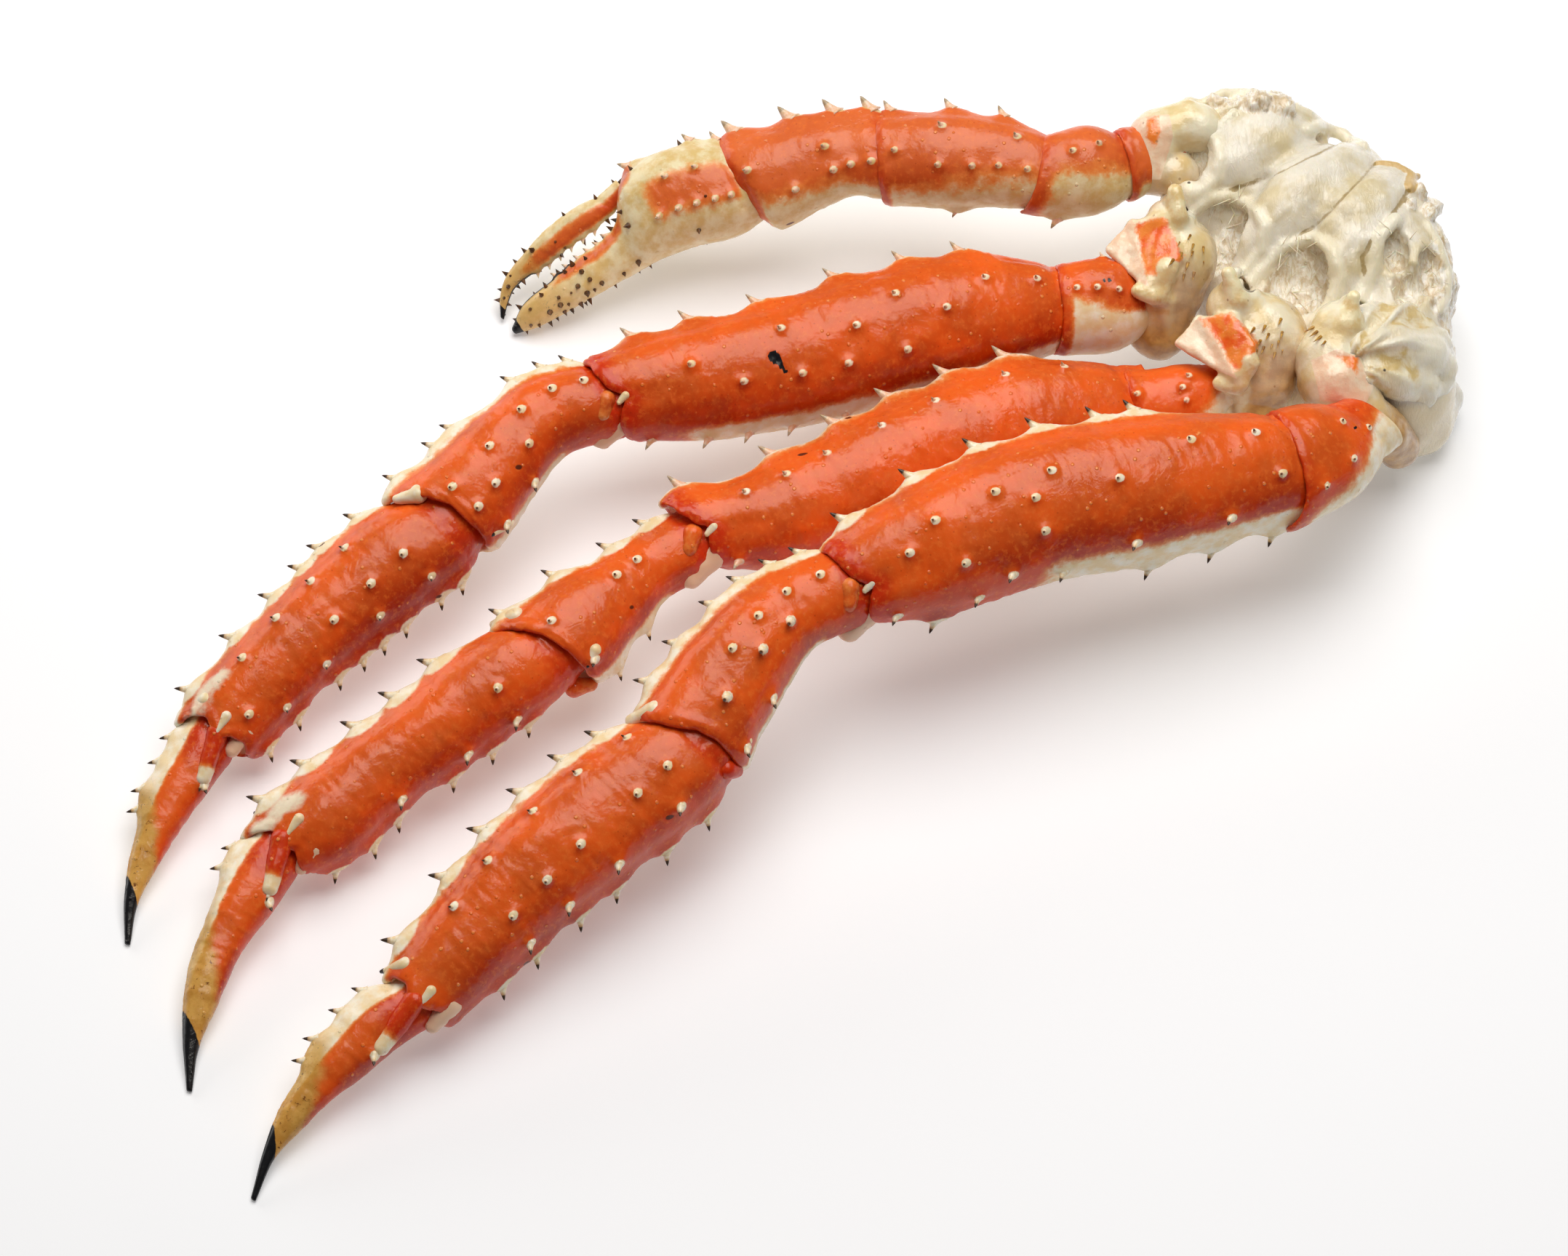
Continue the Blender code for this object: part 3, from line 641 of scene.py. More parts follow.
leg_spine_spots = []
leg_finish = shell_finish("wet_leg_shell")
PAINTS = {
    "front_leg": {"ischium": arm_paint(96, 150, 22), "merus": leg_paint(7, 44, (0.0, 0.7), 0.4, 0.9),
                  "carpus": leg_paint(17, 22, (0.3, 1.2), 1.0, 0.5),
                  "propodus": leg_paint(12, 0, (0.0, 0.4), 0.7, 0.5)},
    "middle_leg": {"ischium": arm_paint(92, 160, 34), "merus": leg_paint(7, 30, (0.0, 0.8), 0.5, 0.9),
                   "carpus": leg_paint(12, 26, (0.3, 1.2), 1.0, 0.4),
                   "propodus": leg_paint(8, 4, (0.0, 0.35), 0.7, 0.5, 0.95)},
    "rear_leg": {"ischium": arm_paint(120, 74, 12), "merus": leg_paint(3, 40, (0.0, 0.95), 0.4, 0.9),
                 "carpus": leg_paint(16, 26, (0.35, 1.2), 1.0, 0.4),
                 "propodus": leg_paint(10, 4, (0.0, 0.45), 0.7, 0.5, 0.85)},
}
PALE_SPINES = {"rear_leg_merus": (0.35, 0.4), "middle_leg_merus": (0.35, 0.4), "rear_leg_ischium": (0.4, 0.0),
               "middle_leg_ischium": (0.5, 0.1)}
SCARS = {"rear_leg_merus": [([(96.5, 2.6), (95.8, 1.4)], 1.9), ([(95.4, 0.6), (94.6, -0.9)], 1.0),
                            ([(94.2, -1.6), (93.6, -2.8)], 0.7)],
         "rear_leg_ischium": [([(20.8, 7.6), (18.6, 6.2), (16.8, 6.0)], 1.5),
                              ([(15.5, 11.8), (14.8, 10.2)], 1.1)],
         "front_leg_ischium": [([(-2.8, 9.2), (-3.4, 7.4)], 0.9), ([(-5.5, 6.4)], 0.8), ([(5.6, 0.7)], 0.7)]}
BACK_ROWS = [(232, 236, 3.5, (0.15, 0.35, 0.55, 0.75)), (268, 272, 4, (0.25, 0.48, 0.7)),
             (306, 310, 3.5, (0.18, 0.4, 0.62, 0.85))]
for leg_name, leg in LEGS.items():
    for index, piece in enumerate(("ischium", "merus", "carpus", "propodus"), start=1):
        rows = leg["spines"][piece] + (BACK_ROWS if piece != "ischium" else [])
        crest = [(0, 1.0, 22), (180, 0.7, 24)] if piece != "ischium" else []
        warm, dark = PALE_SPINES.get(f"{leg_name}_{piece}", (0.0, 1.0))
        mesh, node_name = dress_tube(leg_name, piece, leg, index, rows, crest, PAINTS[leg_name][piece],
                                     leg_spine_spots, warm=warm, dark=dark,
                                     scars=SCARS.get(f"{leg_name}_{piece}", ()))
        slot = "joint_shell" if piece == "ischium" else "leg_shell"
        put_piece(node_name + "_shell", mesh, leg_finish, slot, node_name)
    mesh, node_name = dress_tube(leg_name, "dactylus", leg, 5, leg["spines"]["dactylus"], [(0, 0.5, 20)],
                                 dactyl_paint, leg_spine_spots, closed_tip=True)
    put_piece(node_name + "_shell", mesh, leg_finish, "claw_tip_shell", node_name)


# Joint horn: the hard knobs a joint turns on, the points at the corners of each rim, the short
# spur beside each claw's root and the soft pinkish skin that closes the gap under a bent joint.
JOINT_LUMPS = {
    "front_leg": [
        ("merus", (137.6, -0.8), (140.2, -2.6), 1.5, 0.9, -0.7, "cream"),
        ("carpus", (3.6, 0.2), (7.0, -3.0), 3.2, 2.8, 0.0, "yolk"),
        ("carpus", (-4.0, -7.5), (9.0, -8.5), 6.0, 4.2, -2.0, "skin"),
        ("carpus", (72.0, 13.5), (78.4, 16.6), 3.4, 1.6, -1.5, "cream"),
        ("carpus", (59.0, -11.0), (62.6, -13.4), 2.0, 1.0, 0.0, "point"),
        ("propodus", (-1.0, -13.5), (-3.0, -15.6), 3.2, 2.4, -1.0, "red"),
        ("propodus", (107.5, 1.0), (114.8, -0.3), 1.7, 0.5, 0.2, "cream"),
        ("propodus", (107.0, 11.2), (113.0, 15.0), 2.6, 0.6, -1.0, "point"),
        ("propodus", (106.0, -5.6), (113.4, -6.8), 3.9, 2.4, -2.4, "skin"),
        ("dactylus", (0.5, 1.8), (16.5, 0.6), 3.6, 2.6, 1.6, "spur"),
    ],
    "middle_leg": [
        ("merus", (141.2, 1.0), (143.8, -0.6), 1.5, 0.9, -0.7, "cream"),
        ("carpus", (0.6, 0.2), (4.4, -2.8), 3.1, 2.6, -0.1, "yolk"),
        ("carpus", (-5.0, -7.5), (7.5, -9.5), 5.6, 4.0, -2.0, "skin"),
        ("carpus", (60.0, 11.2), (65.4, 13.8), 3.0, 1.4, -1.5, "cream"),
        ("carpus", (48.5, -10.8), (52.8, -13.2), 2.2, 1.0, 0.0, "point"),
        ("propodus", (-2.4, -16.2), (-6.6, -18.6), 3.4, 2.2, -2.0, "yolk"),
        ("propodus", (89.5, 3.8), (96.1, 1.8), 1.7, 0.5, 0.2, "cream"),
        ("propodus", (91.5, 10.6), (97.4, 13.6), 2.5, 0.6, -1.0, "point"),
        ("propodus", (91.0, -5.8), (97.2, -7.8), 3.7, 2.3, -2.4, "skin"),
        ("dactylus", (-1.6, -0.4), (13.2, -1.8), 3.6, 2.5, 1.6, "spur"),
    ],
    "rear_leg": [
        ("merus", (143.8, 0.4), (146.2, -1.4), 1.4, 0.9, -0.7, "cream"),
        ("carpus", (2.0, 0.4), (5.6, -2.6), 3.0, 2.5, -0.1, "yolk"),
        ("carpus", (-4.0, -6.8), (8.0, -7.6), 5.4, 3.8, -2.0, "skin"),
        ("carpus", (67.5, 10.6), (73.0, 13.2), 3.0, 1.5, -1.5, "cream"),
        ("carpus", (49.5, -12.8), (56.6, -12.4), 1.8, 1.0, 0.0, "point"),
        ("propodus", (89.0, 1.6), (95.7, -0.2), 1.6, 0.5, 0.2, "cream"),
        ("propodus", (89.5, 9.6), (95.2, 12.4), 2.5, 0.6, -1.0, "point"),
        ("propodus", (88.0, -5.4), (94.4, -6.6), 3.5, 2.2, -2.4, "skin"),
        ("dactylus", (0.6, -1.0), (14.6, -2.2), 3.2, 2.3, 1.6, "spur"),
    ],
}
LUMP_MARKS = {
    "cream": {"cream": 1.0}, "red": {"red": 0.9}, "skin": {"skin": 1.0}, "point": {"cream": 1.0, "tip": 1.0},
    "yolk": {"cream": 0.36, "red": 0.2}, "spur": {"red": 0.8, "pale_end": 1.0},
}
LUMP_SIDES = 28


def lump_points(start, end, start_radius, end_radius, seed):
    """A knob or peg: a round-ended tapering body between two points, with how far along each point is."""
    length = np.linalg.norm(end - start)
    axis = unit(end - start)
    side = unit(np.cross(axis, OPEN_SIDE))
    up = np.cross(side, axis)
    widening = end_radius - start_radius
    first = [(-np.cos(a) * start_radius, np.sin(a) * start_radius) for a in np.linspace(0.12, np.pi / 2, 7)]
    middle = [(length * t, start_radius + widening * t) for t in np.linspace(0.1, 0.9, 9)]
    last = [(length + np.sin(a) * end_radius, np.cos(a) * end_radius)
            for a in np.linspace(0, np.pi / 2 - 0.12, 7)]
    profile = np.array(first + middle + last)
    angles = np.arange(LUMP_SIDES) * 2 * np.pi / LUMP_SIDES
    ring = side * np.cos(angles)[:, None] + up * np.sin(angles)[:, None]
    grid = start + axis * profile[:, :1, None] + ring * profile[:, 1:, None]
    normal = surface_normals(grid)
    grid = grid + normal * (0.12 * start_radius * unevenness(grid, 3.2, seed, 2))[..., None]
    along = (profile[:, 0] + start_radius) / (length + start_radius + end_radius)
    return grid, along[:, None] * np.ones(len(angles))


def lump_mesh(name, lumps):
    """Many lumps as one mesh, each with the marks of its kind."""
    points, faces, ends, count = [], [], [], 0
    marks = {mark_name: [] for mark_name in ("cream", "red", "skin", "horn")}
    for number, (start, end, start_radius, end_radius, kind) in enumerate(lumps):
        grid, along = lump_points(start, end, start_radius, end_radius, 700 + number)
        quads, first_cap, last_cap = grid_faces(*along.shape)
        faces.append(quads + count)
        ends += [first_cap + count, last_cap + count]
        points.append(grid.reshape(-1, 3))
        count += along.size
        given = LUMP_MARKS[kind]
        for mark_name, values in marks.items():
            values.append(np.full(along.size, given.get(mark_name, 0.0)))
        flat = along.ravel()
        if "tip" in given:
            marks["horn"][-1] = ease(0.78, 0.88, flat)
        if "pale_end" in given:
            marks["cream"][-1] = ease(0.6, 0.8, flat)
            marks["red"][-1] = marks["red"][-1] * (1 - marks["cream"][-1])
    joined = {mark_name: np.concatenate(values) for mark_name, values in marks.items()}
    return new_mesh(name, np.concatenate(points), faces + ends, joined)


def place_on_face(limb, piece, index, spot, lift):
    """A point on the open face of a tube, from how far along and across it is, and how high over it."""
    joints = np.array([limb["socket"]] + limb["joints"], float)
    start, end = joints[index], joints[index + 1]
    axis = unit(end - start)
    outer = unit(np.cross(axis, OPEN_SIDE))
    face = np.cross(outer, axis)
    share = np.clip(spot[0] / np.linalg.norm(end - start), 0, 1)
    out, inside = (smooth_reading(limb[piece], np.array([share]), column)[0] for column in (1, 2))
    half, middle = (out + inside) / 2, (out - inside) / 2
    off = np.clip((spot[1] - middle) / half, -1, 1)
    rise = DEPTH_SHARE * half * (1 - abs(off) ** ROUNDNESS) ** (1 / ROUNDNESS)
    return start + axis * spot[0] + outer * spot[1] + face * (rise + lift)


PIECES = ("ischium", "merus", "carpus", "propodus", "dactylus")
for leg_name, leg in LEGS.items():
    lumps = []
    for piece, first, last, first_radius, last_radius, lift, kind in JOINT_LUMPS[leg_name]:
        index = PIECES.index(piece) + 1
        ends = [place_on_face(leg, piece, index, spot, lift - first_radius * 0.5) for spot in (first, last)]
        lumps.append((ends[0], ends[1], first_radius, last_radius, kind))
        if kind == "spur":
            aim = unit(ends[1] - ends[0])
            foot = ends[1] + aim * last_radius * 0.55
            leg_spine_spots.append((foot, unit(aim + 0.3 * OPEN_SIDE), 3.4, 1.0, 0.0))
    put_piece(leg_name + "_joint_horn", lump_mesh(leg_name + "_joint_horn", lumps), leg_finish, "joint_shell")


# Spines: hollow cones of the same shell that stand on every tube in rows and lean to its far end.
# They are cream, with a hard dark tip.
def geometry_tree(name, inputs):
    """An empty tree with its named inputs, each given as its kind and its usual value, and a finish."""
    tree = bpy.data.node_groups.new(name, "GeometryNodeTree")
    for way in ("INPUT", "OUTPUT"):
        tree.interface.new_socket("Geometry", in_out=way, socket_type="NodeSocketGeometry")
    for label, (kind, usual) in inputs.items():
        socket = tree.interface.new_socket(label, in_out="INPUT", socket_type="NodeSocket" + kind)
        socket.default_value = usual
    tree.interface.new_socket("Finish", in_out="INPUT", socket_type="NodeSocketMaterial")
    return tree, tree.nodes.new("NodeGroupInput").outputs


def named_field(tree, name, kind):
    field = add_node(tree, "GeometryNodeInputNamedAttribute", {"Name": name}, data_type=kind)
    return field.outputs["Attribute"]


def plant(tree, given, points, shape, aim, size):
    """Stands a shape on every point, turned to its aim, and makes one real mesh of them in the finish."""
    turn = add_node(tree, "FunctionNodeAlignRotationToVector", {"Vector": aim}, axis="Z")
    stood = add_node(tree, "GeometryNodeInstanceOnPoints", {
        "Points": points, "Instance": shape, "Rotation": turn.outputs["Rotation"], "Scale": size})
    real = add_node(tree, "GeometryNodeRealizeInstances", {"Geometry": stood.outputs["Instances"]})
    coat = add_node(tree, "GeometryNodeSetMaterial", {
        "Geometry": real.outputs["Geometry"], "Material": given["Finish"]})
    add_node(tree, "NodeGroupOutput", {"Geometry": coat.outputs["Geometry"]})
    return tree


def spine_tree():
    """Plants a cone on every point, as tall as the point says and leaning the way it says."""
    tree, given = geometry_tree("spines_on_shell", {
        "Sides": ("Int", 14), "Rings": ("Int", 9), "Foot": ("Float", 0.5)})
    cone = add_node(tree, "GeometryNodeMeshCone", {
        "Vertices": given["Sides"], "Side Segments": given["Rings"], "Radius Bottom": given["Foot"],
        "Radius Top": 0.0, "Depth": 1.0})
    place = tree.nodes.new("GeometryNodeInputPosition").outputs[0]
    place = add_node(tree, "ShaderNodeSeparateXYZ", {0: place}).outputs

    # The cone's sides are hollowed: full at the foot, then slimmer, and blunt at the very tip.
    left = combine(tree, "MAXIMUM", combine(tree, "SUBTRACT", 1.0, place["Z"]), 0.04)
    foot_flare = combine(tree, "ADD", 0.62, times(tree, 0.38, combine(tree, "POWER", left, 4.0)))
    swell = times(tree, combine(tree, "POWER", left, -0.32), foot_flare)
    moved = add_node(tree, "ShaderNodeCombineXYZ", {
        "X": times(tree, place["X"], swell), "Y": times(tree, place["Y"], swell), "Z": place["Z"]})
    shape = add_node(tree, "GeometryNodeSetPosition", {
        "Geometry": cone.outputs["Mesh"], "Position": moved.outputs[0]})
    risen = add_node(tree, "GeometryNodeStoreNamedAttribute", {
        "Geometry": shape.outputs["Geometry"], "Name": "rise", "Value": place["Z"]},
        data_type="FLOAT", domain="POINT")
    smooth = add_node(tree, "GeometryNodeSetShadeSmooth", {"Geometry": risen.outputs["Geometry"]})
    return plant(tree, given, given["Geometry"], smooth.outputs["Geometry"],
                 named_field(tree, "aim", "FLOAT_VECTOR"), named_field(tree, "tall", "FLOAT"))


def grown(name, source, tree, inputs):
    """The plain mesh that a tree makes out of a source mesh."""
    carrier = bpy.data.objects.new(name + "_carrier", source)
    bpy.context.scene.collection.objects.link(carrier)
    growth = carrier.modifiers.new("growth", "NODES")
    growth.node_group = tree
    for item in tree.interface.items_tree:
        if item.in_out == "INPUT" and item.name in inputs:
            growth[item.identifier] = inputs[item.name]
    carrier.update_tag()
    bpy.context.view_layer.update()
    result = bpy.data.meshes.new_from_object(carrier.evaluated_get(bpy.context.evaluated_depsgraph_get()))
    result.name = name
    bpy.data.objects.remove(carrier)
    return result


def spine_points(name, spines):
    """A mesh of loose points that carries what each spine needs."""
    mesh = bpy.data.meshes.new(name)
    places = np.array([spine[0] for spine in spines]) * MM
    mesh.vertices.add(len(spines))
    mesh.vertices.foreach_set("co", places.astype(np.float32).ravel())
    aim = mesh.attributes.new("aim", "FLOAT_VECTOR", "POINT")
    aim.data.foreach_set("vector", np.array([spine[1] for spine in spines], np.float32).ravel())
    for mark_name, column, factor in (("tall", 2, MM), ("dark", 3, 1.0), ("warm", 4, 1.0)):
        layer = mesh.attributes.new(mark_name, "FLOAT", "POINT")
        layer.data.foreach_set("value", np.array([spine[column] * factor for spine in spines], np.float32))
    return mesh


def spine_finish():
    """Cream spine with a dark horn tip; the base takes a little of the shell's colour."""
    finish, tree, surface = new_finish("spine_horn", {
        "Roughness": 0.4, "Coat Weight": 0.3, "Coat Roughness": 0.12, "Subsurface Weight": 0.1,
        "Subsurface Radius": (1.0, 0.5, 0.25), "Subsurface Scale": 0.002})
    fine = grain(tree, 0.9, 3)
    rise, dark = mark(tree, "rise"), mark(tree, "dark")
    colour = tint(tree, span(tree, fine, 0.3, 0.7), WARM_CREAM, CREAM)
    colour = tint(tree, times(tree, mark(tree, "warm"), span(tree, rise, 0.75, 0.35)), colour, ORANGE)
    colour = tint(tree, times(tree, dark, span(tree, rise, 0.42, 0.66, 0, 0.7)), colour, srgb(178, 126, 54))
    colour = tint(tree, times(tree, dark, span(tree, rise, 0.6, 0.7)), colour, srgb(58, 38, 22))
    wire(tree, surface.inputs["Base Color"], colour)
    bump(tree, surface, fine, 0.05, 0.5)
    return finish


horn_finish = spine_finish()
plant_spines = spine_tree()
spines = grown("leg_spines", spine_points("leg_spine_points", leg_spine_spots), plant_spines,
               {"Sides": 14, "Rings": 9, "Foot": 0.42, "Finish": horn_finish})
put_piece("leg_spines", spines, horn_finish, "leg_shell")


# Claw arm: the crab's smaller claw on its own slim arm. The tubes are made like the legs', orange
# above and cream below, and the hand ends in a fixed finger with a hinged one above it.
CLAW_ARM = {
    "socket": (127, 163, 43), "root": 0.7,
    "joints": [(112, 162, 42), (100, 157, 42), (76, 153, 44), (23, 159, 42), (-22, 156, 34), (-97, 120, 2.2)],
    "basis": [(0, 11, 11.5), (1, 11.5, 12.5)],
    "ischium": [(0, 11, 12), (0.45, 13.4, 15.6), (1, 11.3, 13.5)],
    "merus": [(0, 11.7, 12.5), (0.35, 15, 13.2), (0.6, 16, 14.3), (1, 13.8, 14.6)],
    "carpus": [(0, 13.4, 13.2), (0.22, 14.2, 9.8), (0.5, 15.2, 12.6), (0.86, 14.6, 17), (1, 13.4, 14)],
    "palm": [(0, 13.5, 14.5), (0.12, 19.5, 13), (0.25, 23.3, 9.5), (0.4, 22, 6.3), (0.48, 12, 5.6),
             (0.56, 8.4, 5.4), (0.66, 8, 5), (0.8, 7, 4.2), (0.92, 5.6, 3.2), (1, 1.2, 1.2)],
    "rims": {"basis": [(0, 0), (180, 0)], "ischium": [(0, 1), (90, 3), (180, 9)],
             "merus": [(0, 1), (90, 1), (180, 0)], "carpus": [(0, 3), (70, 2), (110, -1), (180, -2)]},
    "spines": {
        "ischium": [(180, 180, 4, (0.8,)), (60, 70, 3, (0.35, 0.7))],
        "merus": [(0, 0, 4.5, (0.26, 0.57, 0.92)), (52, 52, 3.5, (0.19, 0.62)),
                  (92, 102, 3, (0.13, 0.3, 0.46, 0.65)), (84, 84, 3, (0.9,)), (180, 180, 3.5, (0.55,))],
        "carpus": [(0, 0, 6.5, (0.06, 0.29, 0.56, 0.9)), (70, 79, 3.5, (0.37, 0.9)),
                   (95, 122, 3.5, (0.06, 0.2, 0.34, 0.63))],
        "palm": [(0, 0, 4, (0.04, 0.12, 0.35)), (100, 96, 3.4, (0.05, 0.11, 0.17, 0.24, 0.32)),
                 (64, 66, 3, (0.13, 0.24)), (14, 14, 3.2, (0.53, 0.57, 0.615, 0.66, 0.71, 0.76))],
        "finger": [(168, 168, 3, (0.16, 0.25, 0.34, 0.43, 0.52, 0.61))],
    },
}
CLAW_FINGER = {
    "socket": (-66, 152.8, 25),
    "joints": [(-101, 125.5, 2.2)],
    "finger": [(0, 5.5, 3), (0.14, 8, 1.8), (0.36, 9.7, -0.4), (0.6, 9.1, -2.3), (0.8, 8.2, -3.6),
               (0.92, 5, -1.5), (1, 0.9, 0.9)],
    "rims": {},
}


def palm_paint(share, turns, travel, length):
    """The hand: pale above, an orange band along its face, cream below, horn on the fixed finger."""
    band = around(turns, 84, 38) * ease(0.0, 0.03, share) * (1 - ease(0.28, 0.38, share))
    hinge = around(turns, 14, 42) * ease(0.33, 0.38, share) * (1 - ease(0.42, 0.46, share))
    finger = ease(0.43, 0.5, share)
    grip = around(turns, 44, 40) * finger * (1 - ease(0.7, 0.86, share))
    cream = 1 - np.maximum(np.maximum(band, hinge), 0.85 * grip)
    tan = 0.55 * finger * ease(0.5, 0.85, share)
    edge = around(turns, 4, 46) * ease(0.62, 0.74, share)
    horn = np.maximum(edge, ease(0.955, 0.985, share))
    tuft = finger * (0.25 + ease(0.6, 0.85, share)) + 0.7 * finger * around(turns, 20, 40)
    tuft = tuft + 0.03 * (1 - finger)
    return {"cream": cream, "red": 0.25 * band, "tan": tan, "horn": horn, "tuft": tuft}


def finger_paint(share, turns, travel, length):
    """The hinged finger: ochre-cream back, orange grip side, a horn line along its bite."""
    grip = around(turns, 108, 56) * (1 - ease(0.55, 0.8, share))
    edge = around(turns, 172, 50) * ease(0.56, 0.68, share)
    horn = np.maximum(edge, ease(0.93, 0.97, share))
    return {"cream": 1 - grip, "red": 0.6 * (1 - ease(0, 0.2, share)), "tan": 0.6 * ease(0.1, 0.75, share),
            "horn": horn, "tuft": 0.25 + 0.8 * ease(0.45, 0.8, share) + 0.7 * around(turns, 160, 36)}


# The pale orange is painted light on faces that look up; the deep orange is mottling and painted shade below.
claw_finish = shell_finish("wet_claw_shell", srgb(218, 96, 36), srgb(194, 74, 24), srgb(236, 122, 64),
                           (srgb(222, 192, 128), srgb(240, 228, 190)))
claw_spine_spots = []
ARM_PAINTS = {"basis": arm_paint(135, 135), "ischium": arm_paint(98, 86, 26), "merus": arm_paint(96, 136, 40),
              "carpus": arm_paint(132, 108, 30), "palm": palm_paint}
ARM_SLOTS = {"basis": "joint_shell", "palm": "claw_shell"}
arm_pieces = {}
for index, piece in enumerate(("basis", "ischium", "merus", "carpus", "palm"), start=1):
    rows = CLAW_ARM["spines"].get(piece, [])
    crest = [(0, 0.6, 22)] if piece in ("merus", "carpus") else []
    mesh, node_name = dress_tube("claw_arm", piece, CLAW_ARM, index, rows, crest, ARM_PAINTS[piece],
                                 claw_spine_spots, closed_tip=piece == "palm", warm=0.3, dark=0.45)
    slot = ARM_SLOTS.get(piece, "leg_shell")
    arm_pieces[piece] = put_piece(node_name + "_shell", mesh, claw_finish, slot, node_name)
mesh, node_name = dress_tube("claw_arm", "finger", CLAW_FINGER, 0, CLAW_ARM["spines"]["finger"], [],
                             finger_paint, claw_spine_spots, closed_tip=True, warm=0.3, dark=0.0)
arm_pieces["finger"] = put_piece(node_name + "_shell", mesh, claw_finish, "claw_shell", node_name)
spines = grown("claw_arm_spines", spine_points("claw_arm_spine_points", claw_spine_spots), plant_spines,
               {"Sides": 14, "Rings": 9, "Foot": 0.52, "Finish": horn_finish})
put_piece("claw_arm_spines", spines, horn_finish, "leg_shell")


# Bristles: tufts of short stiff brown hair that stand in the shell of the claw's fingers, thick
# near the tips and along the bite. The same tree makes the hips' bristles further on.
def any_size(tree, low, high):
    """A random size for every planted shape."""
    limits = {2: low, 3: high, "Seed": 5}
    return add_node(tree, "FunctionNodeRandomValue", limits, data_type="FLOAT").outputs[1]


def tuft_tree():
    """Sows bristle tufts over a shell, as thick as its tuft mark says."""
    tree, given = geometry_tree("bristle_tufts", {
        "Most": ("Float", 60000.0), "Apart": ("Float", 0.002), "Foot": ("Float", 0.0006),
        "Tall": ("Float", 0.0016), "Lean": ("Vector", (0.0, 0.0, 0.0)), "Seed": ("Int", 3)})
    sow = add_node(tree, "GeometryNodeDistributePointsOnFaces", {
        "Mesh": given["Geometry"], "Distance Min": given["Apart"], "Density Max": given["Most"],
        "Density Factor": named_field(tree, "tuft", "FLOAT"), "Seed": given["Seed"]},
        distribute_method="POISSON")
    cone = add_node(tree, "GeometryNodeMeshCone", {
        "Vertices": 7, "Side Segments": 2, "Radius Top": 0.0, "Radius Bottom": given["Foot"],
        "Depth": given["Tall"]})
    way = add_node(tree, "ShaderNodeVectorMath", {0: sow.outputs["Normal"], 1: given["Lean"]},
                   operation="ADD")
    return plant(tree, given, sow.outputs["Points"], cone.outputs["Mesh"], way.outputs[0],
                 any_size(tree, 0.5, 1.25))


def two_tone_finish(name, plain, size, first, second, limits=(0.4, 0.6)):
    """A plain finish that goes from one colour to another in lumps of a size."""
    finish, tree, surface = new_finish(name, plain)
    amount = span(tree, grain(tree, size), *limits)
    wire(tree, surface.inputs["Base Color"], tint(tree, amount, first, second))
    return finish


tuft_finish = two_tone_finish("brown_bristle", {"Roughness": 0.45}, 1.5, srgb(58, 36, 18), srgb(104, 66, 30))
sow_tufts = tuft_tree()
for piece in ("palm", "finger"):
    tufts = grown(f"claw_{piece}_bristles", arm_pieces[piece].data.copy(), sow_tufts,
                  {"Most": 90000.0, "Apart": 0.0025, "Foot": 0.00085, "Tall": 0.0022, "Seed": 4,
                   "Finish": tuft_finish})
    put_piece(f"claw_{piece}_bristles", tufts, tuft_finish, "claw_shell")


# Shoulder: the corner of the body that the legs grow from, broken open. Fat smooth lobes lie side by
# side with brown furrows between them, and each cell's open mouth has a rolled rim round loose
# white meat.
ACROSS = np.array([1.0, 0.0, 0.0])
UPHILL = np.array([0.0, 0.8387, 0.5446])
VIEW_FRAME = np.stack([ACROSS, UPHILL, OPEN_SIDE])
FURROW_RADIUS = 0.6
HOLE_EDGE = 1.0           # how far the edge of a hole is rounded


def blob(place, centre, radii, turn=0.0):
    """Distance to a rounded lump whose sizes are across, up the open side and through it."""
    c, s = np.cos(np.radians(turn)), np.sin(np.radians(turn))
    frame = np.stack([c * ACROSS + s * UPHILL, c * UPHILL - s * ACROSS, OPEN_SIDE])
    q = (place - np.array(centre, float)) @ frame.T
    near = np.linalg.norm(q / radii, axis=-1)
    return near * (near - 1) / np.maximum(np.linalg.norm(q / np.square(radii), axis=-1), 1e-6)


def upright_blob(place, centre, radii, turn):
    """The same with its sizes along the table and its height."""
    c, s = np.cos(np.radians(turn)), np.sin(np.radians(turn))
    q = place - np.array(centre, float)
    q = np.stack([c * q[..., 0] + s * q[..., 1], c * q[..., 1] - s * q[..., 0], q[..., 2]], -1)
    near = np.linalg.norm(q / radii, axis=-1)
    return near * (near - 1) / np.maximum(np.linalg.norm(q / np.square(radii), axis=-1), 1e-6)


def roll(place, path, radii):
    """Distance to a round strand through a row of points, with a radius at each."""
    best = None
    for a, b, ra, rb in zip(path[:-1], path[1:], radii[:-1], radii[1:]):
        a, b = np.array(a, float), np.array(b, float)
        t = np.clip(((place - a) @ (b - a)) / ((b - a) @ (b - a)), 0, 1)
        away = np.linalg.norm(place - a - t[..., None] * (b - a), axis=-1) - (ra + (rb - ra) * t)
        best = away if best is None else np.minimum(best, away)
    return best


def fuse(first, second, soft):
    """Joins two forms with a soft fillet."""
    h = np.clip(0.5 + 0.5 * (second - first) / soft, 0, 1)
    return second + (first - second) * h - soft * h * (1 - h)


def carve(first, second, soft):
    """Cuts the second form out of the first with a soft edge."""
    return -fuse(-first, second, soft)


def settle(path, form, lift=0.0, rounds=1):
    """Drops points on to a form, down through its open side, adding points halfway at every round."""
    settled = []
    path = np.array(path, float)
    for _ in range(rounds):
        path = np.insert(path, np.arange(1, len(path)), (path[1:] + path[:-1]) / 2, axis=0)
    for point in path:
        line = point + OPEN_SIDE * np.linspace(14, -22, 145)[:, None]
        inside = np.nonzero(form(line) < 0)[0]
        hit = line[inside[0]] if len(inside) else point
        settled.append(tuple(hit + OPEN_SIDE * lift))
    return settled


